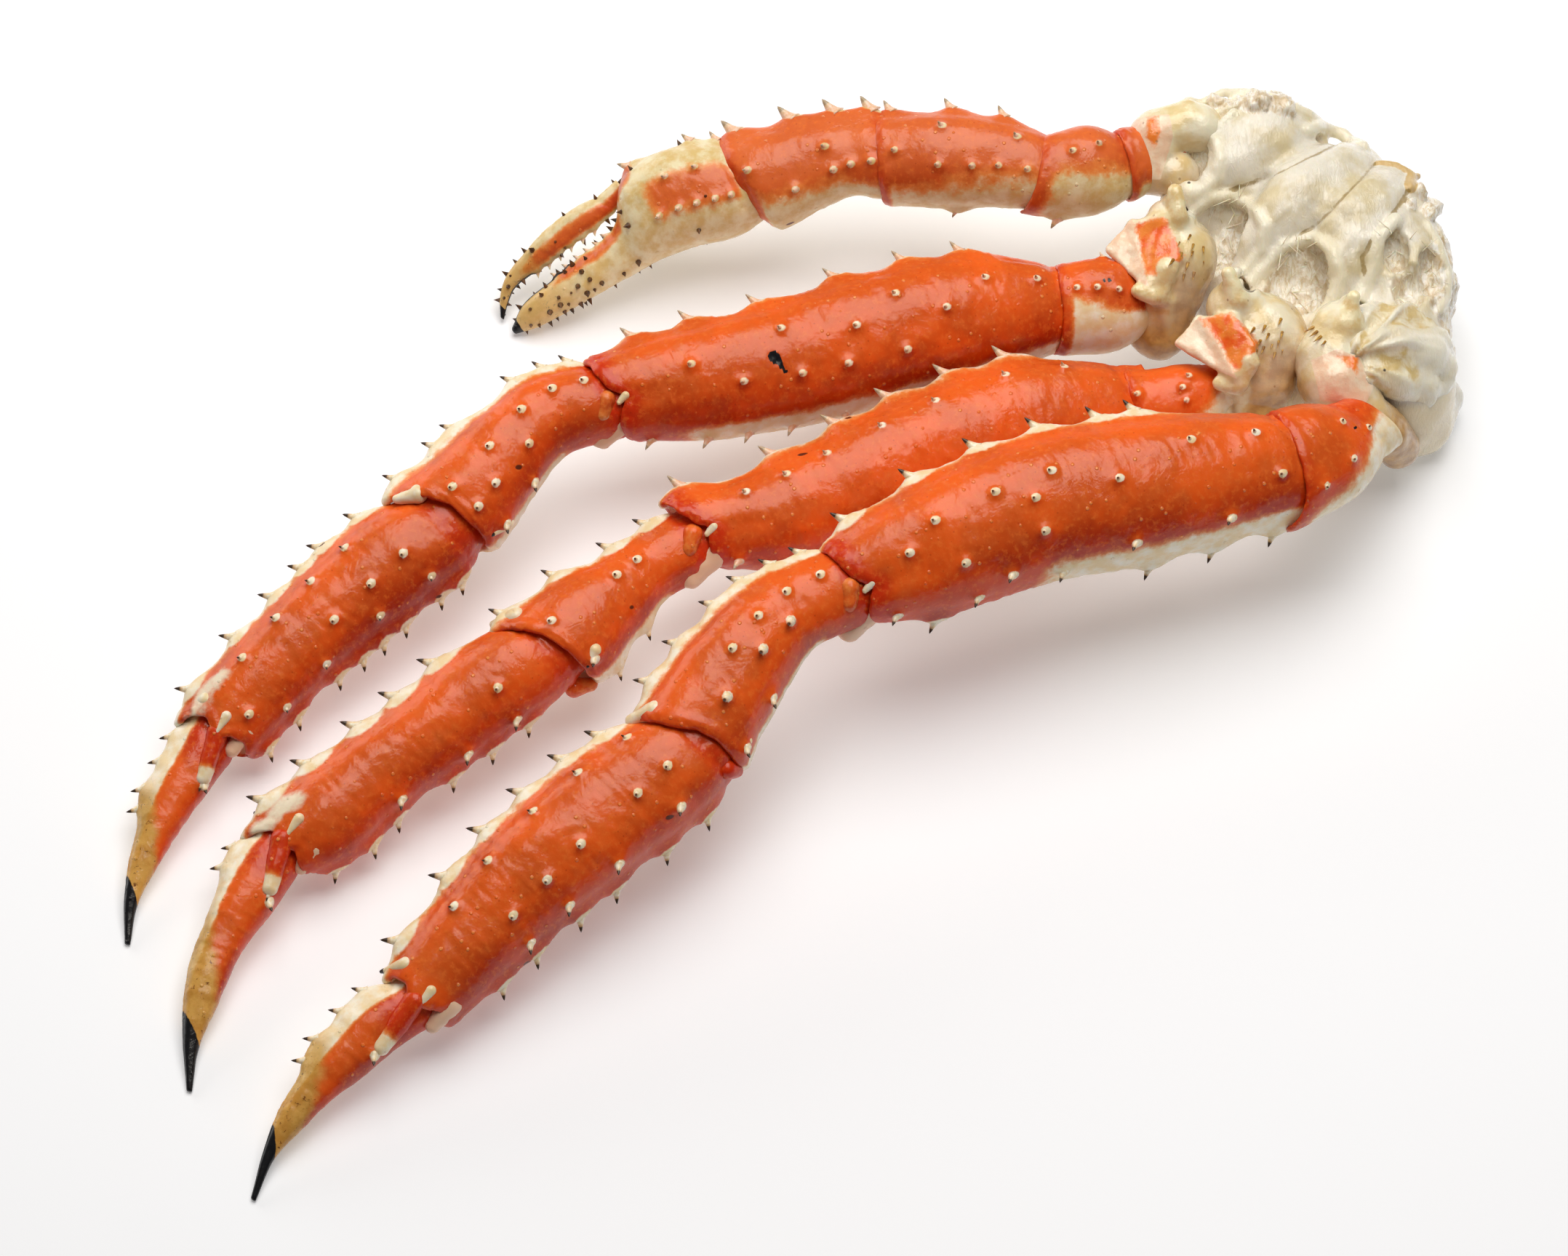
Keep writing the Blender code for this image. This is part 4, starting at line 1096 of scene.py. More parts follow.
def sculpt(form, low, high, step):
    """Turns a form into points and faces, on a lattice of the given step."""
    counts = [int((h - l) / step) + 1 for l, h in zip(low, high)]
    axes = [l + step * np.arange(n) for l, n in zip(low, counts)]
    field = np.empty(counts)
    for i, x in enumerate(axes[0]):
        slab = np.stack(np.meshgrid([x], axes[1], axes[2], indexing="ij"), -1)
        field[i] = form(slab)[0]
    inside = field < 0
    full = sum(inside[i:counts[0] - 1 + i, j:counts[1] - 1 + j, k:counts[2] - 1 + k].astype(int)
               for i in (0, 1) for j in (0, 1) for k in (0, 1))
    cells = np.argwhere((full > 0) & (full < 8))
    number = np.full([n - 1 for n in counts], -1)
    number[tuple(cells.T)] = np.arange(len(cells))
    total, hits = np.zeros((len(cells), 3)), np.zeros(len(cells))
    for axis in range(3):
        for side in range(4):
            a = np.zeros(3, int)
            a[[k for k in range(3) if k != axis]] = side & 1, side >> 1
            b = a.copy()
            b[axis] = 1
            fa, fb = field[tuple((cells + a).T)], field[tuple((cells + b).T)]
            cross = (fa < 0) != (fb < 0)
            t = np.where(cross, fa / np.where(fa == fb, 1, fa - fb), 0)
            total += cross[:, None] * (a + t[:, None] * (b - a))
            hits += cross
    points = np.array(low) + step * (cells + total / hits[:, None])
    quads = []
    for axis in range(3):
        u, v = (axis + 1) % 3, (axis + 2) % 3
        near = [slice(1, n - 1) for n in counts]
        far = list(near)
        near[axis], far[axis] = slice(0, counts[axis] - 1), slice(1, counts[axis])
        change = inside[tuple(near)] != inside[tuple(far)]
        at = np.argwhere(change)
        at[:, u] += 1
        at[:, v] += 1
        step_u, step_v = np.eye(3, dtype=int)[u], np.eye(3, dtype=int)[v]
        ring = [at - step_u - step_v, at - step_v, at, at - step_u]
        quad = np.stack([number[tuple(corner.T)] for corner in ring], -1)
        starts_in = inside[tuple(at.T)]
        quad[~starts_in] = quad[~starts_in][:, ::-1]
        quads.append(quad)
    return points, np.concatenate(quads)


def form_normals(form, points):
    """The outward way of a form at its surface."""
    e = 0.4
    slope = np.stack([form(points + e * way) - form(points - e * way) for way in np.eye(3)], -1)
    return slope / np.maximum(np.linalg.norm(slope, axis=-1, keepdims=True), 1e-9)


CELLS = [((143, 166, 28), (28, 23, 28), 20), ((160, 142, 27), (36, 17, 29), 42),
         ((177, 128, 27), (33, 18, 28), 52), ((190, 116, 25), (16, 34, 26), -4),
         ((184, 88, 24), (21, 22, 25), 0), ((188, 78, 17), (16, 13, 18), 0),
         ((162, 120, 20), (40, 48, 22), 0), ((126, 153, 27), (12, 15, 22), 0)]
LOBES = [([(136, 157, 43), (146, 163, 43), (157, 171, 38)], [9, 11, 8]),
         ([(150, 136, 46), (156, 142, 46), (165, 152, 42), (176, 163, 34)], [7, 10, 10, 7]),
         ([(167, 128, 48), (171, 132, 48), (177, 137, 46), (187, 149, 39)], [6, 8.5, 9.5, 8]),
         ([(184, 130, 44), (194, 128, 39), (200, 112, 33)], [6, 6, 6]),
         ([(184, 72, 12), (195, 77, 9), (202, 88, 9)], [8, 9, 7])]
FURROWS = [[(120, 138, 50), (127, 139, 52), (135, 140, 52), (142, 144, 50), (154, 152, 48), (166, 163, 42),
            (172, 170, 38)],
           [(136, 103, 52), (144, 107, 55), (149, 113, 56), (159, 123, 54), (168, 136, 50), (177, 151, 44),
            (181, 158, 40)],
           [(170, 95, 52), (175, 102, 54), (174, 110, 55), (178, 119, 54), (183, 127, 52), (189, 140, 46),
            (192, 148, 42)]]
HOLLOWS = [((120, 151, 50), (8.5, 10, 5), 20), ((134, 121, 54), (10.5, 14, 7.5), -8),
           ((155, 103, 54), (11.5, 14, 6.5), -14), ((184, 120, 46), (5, 9, 6), 10),
           ((188, 106, 44), (6, 8, 6), 0), ((196, 117, 38), (4.5, 10, 6), -6),
           ((166, 169, 39), (5, 3, 4), -20), ((133, 172, 48), (6, 4, 4), 30)]
RIDGES = [([(127, 167, 48), (130, 160, 50), (131, 152, 52), (130, 145, 52), (126, 140, 52),
            (119, 138, 50)], 1.8),
          ([(120, 130, 50), (123, 134, 50), (128, 137, 52), (134, 137, 54), (140, 133, 55), (144, 122, 56),
            (143, 113, 56), (139, 107, 56), (133, 104, 54)], 2.0),
          ([(138, 101, 52), (145, 108, 56), (150, 114, 57), (160, 117, 57), (165, 111, 57), (167, 101, 57),
            (164, 93, 54), (159, 89, 50)], 2.0),
          ([(172, 94, 52), (178, 107, 55), (179, 118, 54), (185, 128, 50)], 2.2),
          ([(196, 133, 40), (199, 128, 37), (202, 120, 32), (201, 110, 32), (198, 104, 34)], 1.3),
          ([(121, 175, 46), (127, 179, 47), (134, 184, 46), (141, 186, 44), (150, 183, 42), (157, 182, 38),
            (165, 181, 34)], 1.5),
          ([(124, 168, 50), (126, 166, 50), (131, 166, 50), (136, 173, 48)], 1.5),
          ([(160, 171, 41), (166, 175, 39), (173, 174, 37), (178, 168, 36)], 2.0),
          ([(121, 131, 51), (119, 128, 50)], 3.0), ([(116, 138, 50), (121, 140, 51)], 3.4),
          ([(121, 175, 46), (123, 178, 46)], 3.2)]
CRUMBS = [((194, 148, 37), 3.2), ((199, 146, 33), 2.8), ((196, 139, 37), 3.0), ((190, 140, 41), 2.4),
          ((143, 178, 44), 5.0), ((151, 178, 42), 4.5), ((132, 178, 46), 3.6), ((116, 150, 47), 3.5)]
OCHRE = [([(183, 157, 41), (188, 157, 40), (193, 155, 38), (196, 157, 36)], 1.3),
         ([(193, 154, 38), (191, 148, 40)], 1.6)]
HOLES = [(120.5, 133, 50), (137, 102, 50), (173, 95, 48)]


def shoulder_base(place):
    form = None
    for centre, radii, turn in CELLS:
        lump = upright_blob(place, centre, np.array(radii) * 0.97, turn)
        form = lump if form is None else fuse(form, lump, 5.0)
    for path, radii in LOBES:
        form = fuse(form, roll(place, path, radii), 4.5)
    return form


ridges = [(settle(path, shoulder_base), radius) for path, radius in RIDGES]
ochre = [(settle(path, shoulder_base, 0.6), radius) for path, radius in OCHRE]
furrows = [(settle(path, shoulder_base, rounds=2), FURROW_RADIUS) for path in FURROWS]
hollows = [(settle([centre], shoulder_base)[0], radii, turn) for centre, radii, turn in HOLLOWS]
crumbs = [(settle([centre], shoulder_base, -1.2)[0], radius) for centre, radius in CRUMBS]
holes = settle(HOLES, shoulder_base, rounds=0)


def strand(place, path, radius):
    return roll(place, path, [radius] * len(path))


def crumb_form(place, centre, radius):
    return np.linalg.norm(place - np.array(centre), axis=-1) - radius


def hole_form(place, hole):
    return roll(place, [hole, tuple(np.array(hole) - OPEN_SIDE * 9)], [2.6, 1.5])


def shoulder_form(place):
    form = shoulder_base(place)
    for centre, radii, turn in hollows:
        form = carve(form, blob(place, centre, radii, turn), 1.5)
    for path, radius in furrows:
        form = carve(form, strand(place, path, radius), 2.0)
    for path, radius in ridges + ochre:
        form = fuse(form, strand(place, path, radius), 1.8)
    for centre, radius in crumbs:
        form = fuse(form, crumb_form(place, centre, radius), 1.2)
    for hole in holes:
        form = carve(form, hole_form(place, hole), HOLE_EDGE)
    return np.maximum(form, -place[..., 2])


def near_strands(place, strands, low, high):
    """1 on the nearest of many strands and 0 past their edge."""
    return 1 - ease(low, high, np.min([strand(place, path, radius) for path, radius in strands], axis=0))


points, quads = sculpt(shoulder_form, (106, 58, -2), (212, 194, 64), 0.85)
normal = form_normals(shoulder_form, points)
meat = np.zeros(len(points))
for centre, radii, turn in hollows:
    meat = np.maximum(meat, 1 - ease(-1.0, 0.6, blob(points, centre, np.array(radii) * 1.04, turn)))
strands_mark = meat.copy()
for centre, radius in crumbs:
    meat = np.maximum(meat, 1 - ease(0.0, 1.0, crumb_form(points, centre, radius)))
meat = np.maximum(meat, 1 - ease(-3.0, 1.0, upright_blob(points, (140, 180, 42), (24, 9, 16), 0)))
meat = np.maximum(meat, 0.85 * (1 - ease(-2, 2, upright_blob(points, (199, 112, 34), (9, 24, 16), 0))))
ridge_mark = near_strands(points, ridges, 0.2, 1.0)
ochre_mark = near_strands(points, ochre, 0.2, 1.2)
furrow_mark = near_strands(points, furrows, -0.1, 0.9)
# Where the carved holes are, for the near-black painted shade in them.
painted_hole_shade = 1 - ease(-0.6, 0.4, np.min([hole_form(points, hole) for hole in holes], axis=0))
peach_mark = (1 - ease(70, 92, points[:, 1])) * (1 - ease(26, 40, points[:, 2]))
meat = meat * (1 - ridge_mark) * (1 - ochre_mark)

# Whole skin is smooth with shallow grooves along the lobes; torn meat stands in shreds and flakes.
shreds = 1 - np.abs(unevenness(points * np.array([1.0, 0.5, 0.5]), 3.6, 11, 3))
flakes = unevenness(points * np.array([0.6, 1.0, 1.0]), 7.0, 12, 3)
along_lobes = np.array([[0.71, 0.71, 0], [-1.9, 1.9, 0], [0, 0, 1.0]]).T
grooves = unevenness(points @ along_lobes, 7.0, 17, 2)
height = 0.6 * unevenness(points, 20.0, 13, 2) + 0.3 * unevenness(points, 6.0, 14, 2)
height = height + 0.3 * grooves * (1 - ridge_mark)
height = height * (1 - meat) + meat * (1.5 * flakes + 2.2 * (shreds ** 3 - 0.45))
points = points + normal * height[:, None]
shoulder_mesh = new_mesh("shoulder_meat", points, [quads], {
    "meat": meat, "ridge": ridge_mark, "furrow": furrow_mark, "hole": painted_hole_shade, "ochre": ochre_mark,
    "peach": peach_mark, "strands": strands_mark * np.clip(normal @ OPEN_SIDE, 0, 1)})


def meat_finish():
    """Cooked crab flesh and its thin skin: ivory and wet, fibrous where it is torn, brown in the furrows,
    with near-black painted shade in its holes.
    """
    finish, tree, surface = new_finish("shoulder_flesh", {
        "Subsurface Weight": 0.3, "Subsurface Radius": (1.0, 0.75, 0.45), "Subsurface Scale": 0.003,
        "Coat Weight": 1.0, "Coat Roughness": 0.05})
    broad = grain(tree, 13, 4)
    fibre = grain(tree, 1.5, 5, 0.65, 1.4, (1.0, 0.4, 0.4))
    fine = grain(tree, 1.0, 3)
    blotch = span(tree, grain(tree, 6.0, 4, 0.6, 0.6), 0.46, 0.62, 0, 0.65)
    flesh = tint(tree, span(tree, fibre, 0.3, 0.6), srgb(214, 194, 154), srgb(255, 252, 244))
    flesh = tint(tree, blotch, flesh, srgb(204, 176, 130))
    lining = span(tree, grain(tree, 5.0, 3, 0.5, 0.6), 0.35, 0.6)
    amber = tint(tree, lining, srgb(222, 196, 134), srgb(246, 236, 208))
    peach = times(tree, ragged(tree, "peach", broad, 0.5, 0.35, 0.8), 0.8)
    furrow = times(tree, ragged(tree, "furrow", fine, 0.4, 0.45, 0.85), 0.8)
    specks = times(tree, span(tree, dots(tree, 16.0, 0.03), 0.05, 0.035), 0.9)
    colour = tint(tree, span(tree, broad, 0.4, 0.66), srgb(240, 235, 222), srgb(222, 208, 170))
    for amount, over in (
            (ragged(tree, "meat", fine, 0.3, 0.3, 0.7), flesh),
            (times(tree, mark(tree, "ridge"), 0.6), srgb(252, 246, 224)),
            (peach, srgb(246, 226, 186)),
            (ragged(tree, "ochre", fine, 0.3, 0.35, 0.75), srgb(216, 184, 124)),
            (ragged(tree, "amber", fine, 0.3, 0.35, 0.75), amber),
            (furrow, srgb(158, 130, 64)),
            (specks, srgb(52, 38, 24)),
            # Painted shade: near-black inside each hole.
            (ragged(tree, "hole", fine, 0.3, 0.35, 0.65), srgb(38, 24, 12))):
        colour = tint(tree, amount, colour, over)
    wire(tree, surface.inputs["Base Color"], colour)
    wire(tree, surface.inputs["Roughness"], span(tree, fibre, 0.3, 0.7, 0.32, 0.55))
    threads = bump(tree, surface, fibre, 0.5, 0.7)
    bump(tree, surface, grain(tree, 3.0, 3), 0.4, 0.6, "Coat Normal", threads)
    return finish


flesh_finish = meat_finish()
shoulder_piece = put_piece("shoulder_flesh", shoulder_mesh, flesh_finish, "shoulder_meat", "shoulder")


# Torn lining: the amber skin of the belly side, pulled loose over the front corner and left in
# folds, and thin threads of meat that stand out of every broken cell.
LINING = [([(172, 88, 46), (181, 91, 44), (190, 93, 39), (196, 91, 33)], [6, 7, 7, 5]),
          ([(171, 80, 46), (181, 82, 44), (191, 84, 37), (198, 85, 30)], [6, 8, 8, 5]),
          ([(174, 74, 42), (183, 75, 38), (191, 77, 31), (196, 80, 27)], [5, 6.5, 6.5, 5])]
linings = [([tuple(np.array(p) + OPEN_SIDE * (8 - r * 0.9)) for p, r in zip(path, radii)], radii)
           for path, radii in LINING]


def lining_form(place):
    form = None
    for path, radii in linings:
        part = roll(place, path, radii)
        form = part if form is None else fuse(form, part, 2.5)
    return form


points, quads = sculpt(lining_form, (158, 54, 4), (212, 104, 62), 0.75)
normal = form_normals(lining_form, points)
from_root = points - np.array([166.0, 72.0, 52.0])
spoke = np.degrees(np.arctan2(from_root[:, 1], from_root[:, 0]))
distance = np.linalg.norm(from_root, axis=1)
fold_line = np.stack([spoke * 0.17, distance * 0.07, points[:, 2] * 0.04], -1)
folds = 1 - np.abs(unevenness(fold_line, 2.4, 21, 2))
points = points + normal * (2.8 * (folds ** 2 - 0.5) + 0.4 * unevenness(points, 4.0, 22, 2))[:, None]
fold_crest = ease(0.55, 0.9, folds)
lining_mesh = new_mesh("torn_lining", points, [quads], {
    "meat": 0.2 * fold_crest, "ridge": 0.7 * fold_crest, "amber": 1 - 0.7 * fold_crest})
put_piece("torn_lining", lining_mesh, flesh_finish, "shoulder_meat")


def strand_tree():
    """Lays thin pointed threads on a surface, as thick as its strands mark says."""
    tree, given = geometry_tree("meat_threads", {
        "Most": ("Float", 60000.0), "Foot": ("Float", 0.00022), "Long": ("Float", 0.005),
        "Lift": ("Float", 0.35), "Seed": ("Int", 3)})
    amount = times(tree, named_field(tree, "strands", "FLOAT"), given["Most"])
    sow = add_node(tree, "GeometryNodeDistributePointsOnFaces", {
        "Mesh": given["Geometry"], "Density": amount, "Seed": given["Seed"]})
    cone = add_node(tree, "GeometryNodeMeshCone", {
        "Vertices": 5, "Side Segments": 2, "Radius Bottom": given["Foot"],
        "Radius Top": times(tree, given["Foot"], 0.3), "Depth": given["Long"]})
    stray = add_node(tree, "FunctionNodeRandomValue", {
        0: (-1, -1, -1), 1: (1, 1, 1), "Seed": given["Seed"]}, data_type="FLOAT_VECTOR")
    rise = add_node(tree, "ShaderNodeVectorMath", {0: sow.outputs["Normal"], "Scale": given["Lift"]},
                    operation="SCALE")
    way = add_node(tree, "ShaderNodeVectorMath", {0: rise.outputs[0], 1: stray.outputs[0]}, operation="ADD")
    return plant(tree, given, sow.outputs["Points"], cone.outputs["Mesh"], way.outputs[0],
                 any_size(tree, 0.4, 1.3))


thread_finish = two_tone_finish(
    "white_meat_thread", {"Roughness": 0.4, "Subsurface Weight": 0.3, "Subsurface Scale": 0.001}, 6.0,
    srgb(250, 246, 234), srgb(228, 216, 186), (0.35, 0.65))
lay_strands = strand_tree()
threads = grown("shoulder_threads", shoulder_piece.data.copy(), lay_strands,
                {"Most": 260000.0, "Foot": 0.0002, "Long": 0.006, "Lift": 0.02, "Seed": 8,
                 "Finish": thread_finish})
put_piece("shoulder_threads", threads, thread_finish, "shoulder_meat")


# Hip joints: the short first ring of each limb, a cream globe that carries an orange patch, rows of
# bristles, the horn knobs it turns on, and a pink web of skin over the root of the next ring.
# "body" and the other parts are laid in their place and then lifted by "rise", towards the open side.
SHAFT_RADII = [2.7, 2.0]
HIPS = {
    "front_leg": {
        "body": [((168, 93, 51), 4), ((165, 86, 49), 9), ((163, 77, 45), 12), ((164, 70, 43), 12),
                 ((172, 62, 35), 9), ((180, 62, 27), 8), ((185, 64, 16), 7)],
        "knobs": [([(168.5, 94.5, 52.5), (167.5, 88.5, 47)], [2.6, 3.4])],
        "web": [],
        "patch": [(162.8, 77.2, 46), (170.1, 78.6, 44), (169.1, 71.1, 44)],
        "pink": [(155, 77, 44), (163, 81, 44), (170, 78, 44), (175, 69, 42), (172, 62, 42), (158, 63, 42)],
        "bristles": ((158, 84, 42), (3, 6, 8), 0),
        "hole": (173.2, 95, 48), "box": ((144, 40, 4), (198, 104, 60)), "rise": 8.0,
    },
    "middle_leg": {
        "body": [((131, 101, 48), 4), ((133, 95.5, 46), 9.5), ((141, 87, 42), 15), ((140, 79, 33), 13),
                 ((139, 74, 25), 10)],
        "knobs": [([(130, 104.5, 51.5), (132.5, 98.5, 46.5)], [2.6, 3.4]),
                  ([(136, 79.4, 38.6), (134.4, 74.8, 35)], [3.4, 1.8]),
                  ([(127, 75.6, 33.4), (132.2, 74.2, 33.2)], [2.3, 2.7]),
                  ([(134, 77, 30), (135, 72, 19)], [2.6, 0.9]), ([(129, 77, 28), (130, 73, 19)], [2.4, 0.9])],
        "web": [[(114.5, 88, 37.5), (121.1, 95, 40.5), (131.3, 75.4, 36.6)],
                [(121.1, 94.5, 41), (131, 92.5, 44), (131.8, 76, 37.5)],
                [(131, 92.5, 44), (137, 83, 43), (131.8, 76, 37.5)]],
        "patch": [(120.5, 92.5, 45), (130.5, 92.5, 47), (139.5, 83, 44), (137, 77, 42), (131, 75, 40),
                  (127, 83, 43)],
        "pink": [(112, 84.9, 40), (121.5, 95, 44), (127, 83, 43), (132, 72, 40)],
        "bristles": ((143, 86, 42), (8, 8, 8), 0),
        "hole": (137.3, 104.6, 46), "box": ((104, 50, -6), (164, 114, 60)), "rise": 11.5,
    },
    "rear_leg": {
        "body": [((115, 135, 48), 4), ((114, 128, 45.5), 9), ((115.5, 119, 42), 14), ((112, 111, 34), 12.5),
                 ((111, 104, 24), 10)],
        "knobs": [([(115, 138, 50.5), (116, 132, 46)], [2.6, 3.4]),
                  ([(112, 115.4, 39.4), (110.2, 108, 33.4)], [3.4, 1.7]),
                  ([(102.8, 109.4, 36), (107.4, 107.8, 35.2)], [2.2, 2.6]),
                  ([(112, 110, 31), (113.5, 102, 17)], [2.8, 0.9]),
                  ([(107, 109, 29), (108, 103, 18)], [2.4, 0.9])],
        "web": [[(94.2, 125, 37), (101.7, 133.5, 39.5), (106.2, 110.5, 37)],
                [(101.7, 133, 40), (111.5, 131, 44), (107, 112, 37.5)],
                [(111.5, 131, 44), (115, 118, 42), (107, 112, 37.5)]],
        "patch": [(102, 130.5, 44), (112, 131, 46), (117, 118, 42), (113, 113, 41), (105.4, 111.5, 41),
                  (104, 119, 43)],
        "pink": [(91, 122.8, 40), (101.7, 134, 42), (104, 119, 43), (106.5, 106, 40)],
        "bristles": ((120, 119, 42), (7, 8, 8), 0),
        "hole": (120.6, 135.4, 46), "box": ((84, 84, -6), (140, 148, 60)), "rise": 11.0,
    },
    "claw_arm": {
        "body": [((125, 168, 47), 8), ((118, 168, 47), 8), ((112, 166, 46), 9), ((110, 158, 39), 9),
                 ((117, 156, 38), 8)],
        "knobs": [([(121, 177, 45), (122, 172, 46)], [2.8, 2.8])], "web": [],
        "patch": [(108, 171, 46), (111, 172, 46), (112, 166, 46), (110, 161, 44), (107.5, 164, 46)],
        "pink": [(103, 172, 46), (115, 173, 46), (116, 164, 46), (112, 152, 40), (105, 152, 40)],
        "bristles": None, "hole": None,
        "box": ((94, 136, 14), (138, 190, 60)), "rise": 10.0,
    },
}


def sheet(place, corners, thick):
    """Distance to a flat three-cornered skin of a given half thickness."""
    a, b, c = (np.array(corner, float) for corner in corners)
    facing = unit(np.cross(b - a, c - a))
    away = (place - a) @ facing
    flat = place - away[..., None] * facing
    within = np.ones(away.shape, bool)
    edge = np.full(away.shape, 1e9)
    for start, end in ((a, b), (b, c), (c, a)):
        way = end - start
        t = np.clip(((flat - start) @ way) / (way @ way), 0, 1)
        edge = np.minimum(edge, np.linalg.norm(flat - start - t[..., None] * way, axis=-1))
        within &= ((flat - start) @ np.cross(facing, way)) > 0
    return np.hypot(away, np.where(within, 0.0, edge)) - thick


def outline(place, corners):
    """Distance to an outline as it is seen from the open side, below 0 within it."""
    spots, flat = np.array(corners, float) @ VIEW_FRAME[:2].T, place @ VIEW_FRAME[:2].T
    edge = np.full(flat.shape[:-1], 1e9)
    within = np.zeros(flat.shape[:-1], bool)
    for a, b in zip(spots, np.roll(spots, -1, 0)):
        way = b - a
        t = np.clip(((flat - a) @ way) / (way @ way), 0, 1)
        edge = np.minimum(edge, np.linalg.norm(flat - a - t[..., None] * way, axis=-1))
        slant = (flat[..., 1] - a[1]) / (way[1] if way[1] else 1e-9)
        within ^= ((a[1] > flat[..., 1]) != (b[1] > flat[..., 1])) & (flat[..., 0] < a[0] + slant * way[0])
    return np.where(within, -edge, edge)


def hip_finish():
    """Thin cream shell and pink joint skin, wet, with orange where the hard plate starts, darker ochre
    painted shade low down and near-black painted shade in its hole.
    """
    finish, tree, surface = new_finish("hip_shell", {
        "Subsurface Weight": 0.2, "Subsurface Radius": (1.0, 0.6, 0.35), "Subsurface Scale": 0.002,
        "Coat Weight": 1.0, "Coat Roughness": 0.05})
    broad = grain(tree, 11, 3)
    middling = grain(tree, 4.0, 4, 0.6)
    fine = grain(tree, 1.3, 4, 0.6)

    def mottled(low, high, first, second):
        return tint(tree, span(tree, middling, low, high), first, second)

    frayed = times(tree, combine(tree, "ADD", middling, fine), 0.5)
    specks = times(tree, span(tree, dots(tree, 6.0, 0.03), 0.09, 0.06), 0.55)
    colour = tint(tree, span(tree, broad, 0.4, 0.65), srgb(250, 243, 218), srgb(236, 214, 158))
    for amount, over in (
            # Painted shade: darker ochre low on each hip.
            (times(tree, mark(tree, "low"), 0.9),
             mottled(0.35, 0.65, srgb(168, 112, 36), srgb(200, 148, 70))),
            (times(tree, mark(tree, "knob"), 0.85),
             mottled(0.4, 0.65, srgb(248, 238, 196), srgb(232, 204, 140))),
            (ragged(tree, "pink", middling, 0.3, 0.35, 0.7),
             mottled(0.4, 0.65, srgb(246, 208, 176), srgb(253, 230, 204))),
            (ragged(tree, "patch", frayed, 1.6, 0.2, 0.75),
             mottled(0.35, 0.6, srgb(246, 98, 10), srgb(250, 142, 50))),
            (specks, srgb(150, 100, 44)),
            # Painted shade: near-black inside the hole.
            (ragged(tree, "hole", fine, 0.3, 0.35, 0.65), srgb(52, 32, 14))):
        colour = tint(tree, amount, colour, over)
    wire(tree, surface.inputs["Base Color"], colour)
    wire(tree, surface.inputs["Roughness"], span(tree, fine, 0.3, 0.7, 0.32, 0.5))
    pores = bump(tree, surface, fine, 0.2, 0.7)
    bump(tree, surface, grain(tree, 3.0, 3), 0.5, 0.7, "Coat Normal", pores)
    return finish


def hip_form_of(hip, rise, shaft):
    """The form of one hip: its globe, the web, the knobs it turns on, and the hole behind them, which its
    finish darkens with painted shade.
    """
    core = [tuple(np.array(p) - OPEN_SIDE * r) for p, r in hip["body"]]
    core_radii = [r for _, r in hip["body"]]

    def hip_form(place):
        spot = place - rise
        form = roll(spot, core, core_radii)
        for corners in hip["web"]:
            form = fuse(form, sheet(spot, corners, 1.3), 2.5)
        for path, radii in hip["knobs"]:
            form = fuse(form, roll(spot, path, radii), 2.4)
        if shaft:
            form = carve(form, roll(spot, shaft, SHAFT_RADII), HOLE_EDGE)
        return np.maximum(form, -place[..., 2])
    return hip_form


